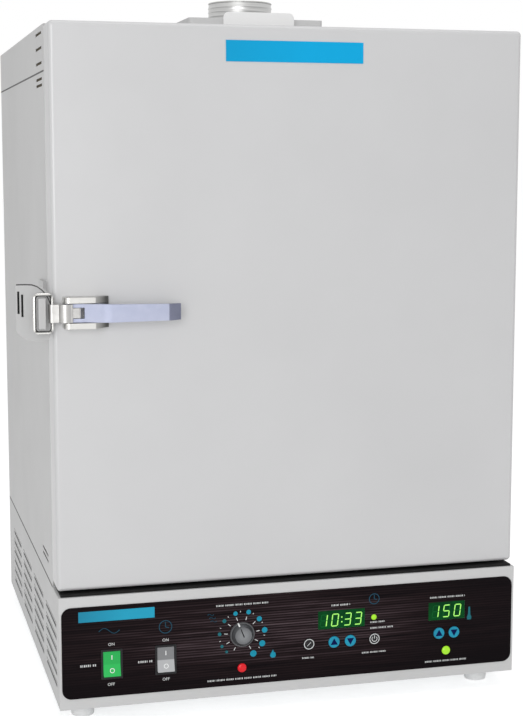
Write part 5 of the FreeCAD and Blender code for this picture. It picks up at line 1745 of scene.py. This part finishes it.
@dataclass
class ControlPanel:
    """The overlay with its badge, lamps, rockers, knob and keys, and what lies behind it."""

    badge_corners: tuple[Spot, Spot] = ((-257.3, 102.3), (-169.0, 114.8))
    rockers: Sequence[tuple[str, float, Finish, str]] = (
        ("power_rocker", -219.4, ROCKER_GREEN, "rocker_green"),
        ("timer_rocker", -156.3, ROCKER_GREY, "rocker_grey"),
    )
    rocker_z: float = 51.0
    rocker_lean: float = -7.0
    rocker_slope: float = math.atan2(1.7, 14.75)
    mark_at: Spot = (-3.72, 7.6)
    mark_depth: Spot = (-0.08, 0.02)
    knob_disc: Sequence[Spot] = (
        (3.2, 0.0), (14.6, 0.0), (15.0, -0.3), (14.9, -2.0), (14.55, -2.5), (13.3, -2.6),
        (0.0, -2.6),
    )
    knob_cone: Sequence[Spot] = (
        (13.0, -2.3), (13.3, -2.9), (10.5, -7.6), (10.0, -8.25), (9.2, -8.5), (0.0, -8.2)
    )
    knob_rear: float = OVERLAY - 0.3
    knob_turn: float = -21.0
    knurls: int = 40
    knurl_from: float = 14.7
    knurl_depth: float = 0.02
    pointer: Sequence[Spot] = ((-0.8, -3.0), (0.8, -3.0), (0.95, 2.6), (-0.95, 2.6))
    pointer_foot: Sequence[Spot] = ((-0.9, 13.6), (0.9, 13.6), (0.9, 15.0), (-0.9, 15.0))
    pointer_at: Spot = (-5.35, 11.9)
    pointer_lean: float = math.atan2(4.7, 2.8) - math.pi / 2
    groove: Sequence[Spot] = ((-0.65, -1.6), (0.65, -1.6), (0.5, 9.2), (-0.5, 9.2))
    key_depth: Spot = (OVERLAY - 0.96, OVERLAY - 0.88)
    arrow: Sequence[Spot] = ((-4.5, -3.3), (0.0, 4.6), (4.5, -3.3))
    ring: Spot = (5.9, 0.8)
    open_ring: Spot = (3.2, 0.7)
    lenses: Sequence[tuple[str, Finish, Sequence[Point]]] = (
        ("limit_lamp_lens", RED_LENS, ((-65.0, 33.0, 5.35),)),
        ("green_lamp_lenses", GREEN_LENS, ((191.6, 33.0, 5.35), (98.4, 81.8, 3.35))),
    )
    dome: float = 0.42

    def build(self) -> None:
        """Dresses the panel and adds everything on it."""
        dress(FILM, "panel_overlay")
        dress(BOARD, "control_board")
        Print().build()
        self.badge()
        refine("rocker_bezels", BLACK_PLASTIC, "black_plastic", 0.4)
        for rocker in self.rockers:
            self.rocker(*rocker)
        self.knob()
        self.keys()
        self.lamps()
        dress(STAINLESS, "knob_shaft")
        dress(BLACK_PLASTIC, "limit_thermostat", "power_relay")
        refine("power_inlet", BLACK_PLASTIC, "black_plastic", 0.4)

    def badge(self) -> None:
        """Adds the small bare blue plate at the panel's upper left."""
        piece = Piece("panel_badge")
        (x0, z0), (x1, z1) = shape_on_panel(self.badge_corners)
        piece.block((x0, OVERLAY - 0.35, z0), (x1, OVERLAY + 0.05, z1), 0.15)
        piece.finish("cabinet", PANEL_BADGE, "badge_blue")

    def rocker(self, name: str, x: float, finish: Finish, slot: str) -> None:
        """Softens a rocker and adds its on and off marks.

        Args:
            name: Name of the rocker's node.
            x: Its middle from the oven's middle.
            finish: Its surface.
            slot: The record's material slot.
        """
        refine(name, finish, slot, 0.7, 3)
        piece = Piece(name + "_marks")
        pivot = Matrix.Translation((MIDDLE + x, BASE_FRONT + 1, BASE_BOTTOM + self.rocker_z))
        pivot = pivot @ Matrix.Rotation(math.radians(self.rocker_lean), 4, "X")
        near, far = self.mark_depth
        out, rise = self.mark_at
        for up in (1, -1):
            before = set(piece.bm.verts)
            if up > 0:
                piece.block((-0.55, near, -2.6), (0.55, far, 2.6))
            else:
                piece.washer((0, 0), 2.4, 0.8, self.mark_depth)
            slope = Matrix.Rotation(self.rocker_slope * up, 4, "X")
            piece.move(before, pivot @ Matrix.Translation((0, out, rise * up)) @ slope)
        piece.finish(name, WHITE_PLASTIC, slot, outward=True)

    def knob(self) -> None:
        """Replaces the knob by a spun cone on a knurled disc, with a dark strip as painted shade
        for its slot, and a white pointer.
        """
        x, z = on_panel(*Print.dial)
        rear = self.knob_rear
        disc = Piece("limit_knob_disc")
        disc.lathe(self.knob_disc, (x, rear, z), 120)
        for vert in disc.bm.verts:
            off = Vector((vert.co.x - x, 0, vert.co.z - z))
            if off.length > self.knurl_from:
                ridge = 0.5 + 0.5 * math.cos(math.atan2(off.z, off.x) * self.knurls)
                vert.co -= off * (self.knurl_depth * ridge)
        disc.finish("knob", KNOB_PLASTIC, "knob_grey", ["limit_knob"], 25, outward=True)
        cone = Piece("limit_knob_cone")
        cone.lathe(self.knob_cone, (x, rear, z), 96)
        cone.finish("knob", KNOB_FACE, "knob_grey", ["limit_knob"], 30, outward=True)
        turn = Matrix.Rotation(math.radians(self.knob_turn), 4, "Y")
        turn = Matrix.Translation((x, 0, z)) @ turn
        out, rise = self.pointer_at
        lean = Matrix.Rotation(self.pointer_lean, 4, "X")
        slope = turn @ Matrix.Translation((0, rear + out, rise)) @ lean
        line = Piece("knob_pointer")
        line.plate(self.pointer, (-0.14, 0.3), slope)
        line.plate(self.pointer_foot, (rear - 2.7, rear - 0.6), turn)
        line.finish("knob", WHITE_PLASTIC, "knob_grey", outward=True)
        # Dark strip on the cone's face: painted shade for the slot
        slot = Piece("knob_slot_painted_shade")
        slot.plate(self.groove, (rear - 8.55, rear - 7.9), turn)
        slot.finish("knob", SLOT_DARK, "knob_grey", outward=True)

    def keys(self) -> None:
        """Softens the keys and adds their arrows and rings."""
        for name, up in (
            ("timer_up_key", 1), ("timer_down_key", -1),
            ("temperature_up_key", 1), ("temperature_down_key", -1),
        ):
            refine(name, KEY_CYAN, "key_cyan", 0.35)
            x, z = self.middle_of(name)
            arrow = Piece(name + "_arrow")
            arrow.plate([(x + u, z + v * up) for u, v in self.arrow], self.key_depth)
            arrow.finish(name, NAVY_INK, "key_black", outward=True)
        for name in ("timer_reset_key", "start_stop_key"):
            refine(name, BLACK_PLASTIC, "key_black", 0.35)
            x, z = self.middle_of(name)
            ring = Piece(name + "_ring")
            ring.washer((x, z), *self.ring, self.key_depth)
            if name == "start_stop_key":
                ring.washer((x, z), *self.open_ring, self.key_depth, (130, 410))
                ring.stroke([(x, z + 0.6), (x, z + 4.2)], 0.7, self.key_depth)
            else:
                ring.stroke([(x - 2.0, z - 2.0), (x + 2.0, z + 2.0)], 0.55, self.key_depth)
            ring.finish(name, WHITE_INK, "key_black", outward=True)

    def middle_of(self, node: str) -> Spot:
        """X and Z of the middle of a CAD node."""
        middle = sum(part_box(node), Vector()) / 2
        return (middle.x / MM, middle.z / MM)

    def lamps(self) -> None:
        """Replaces the three lamps by domed lenses."""
        for name, finish, places in self.lenses:
            piece = Piece(name)
            for across, up, radius in places:
                x, z = on_panel(across, up)
                profile = [(0.0, 16.0), (radius, 16.0), (radius, 0.2)]
                for step in range(1, 9):
                    angle = math.pi / 2 * step / 8
                    height = -radius * self.dome * math.sin(angle)
                    profile.append((radius * math.cos(angle), height))
                piece.lathe(profile, (x, OVERLAY, z), 40)
            piece.finish("cabinet", finish, "lamp", ["indicator_lamps"], outward=True)


def main() -> None:
    """Builds the studio and the oven's sub-assemblies in order."""
    logging.basicConfig(level=logging.INFO, format="%(name)s %(message)s")
    Studio().build()
    for part in (Cabinet(), Feet(), Chamber(), Door(), Latch(), Vent(), Displays(), ControlPanel()):
        log.info("building %s", type(part).__name__)
        part.build()


if __name__ == "__main__":
    main()
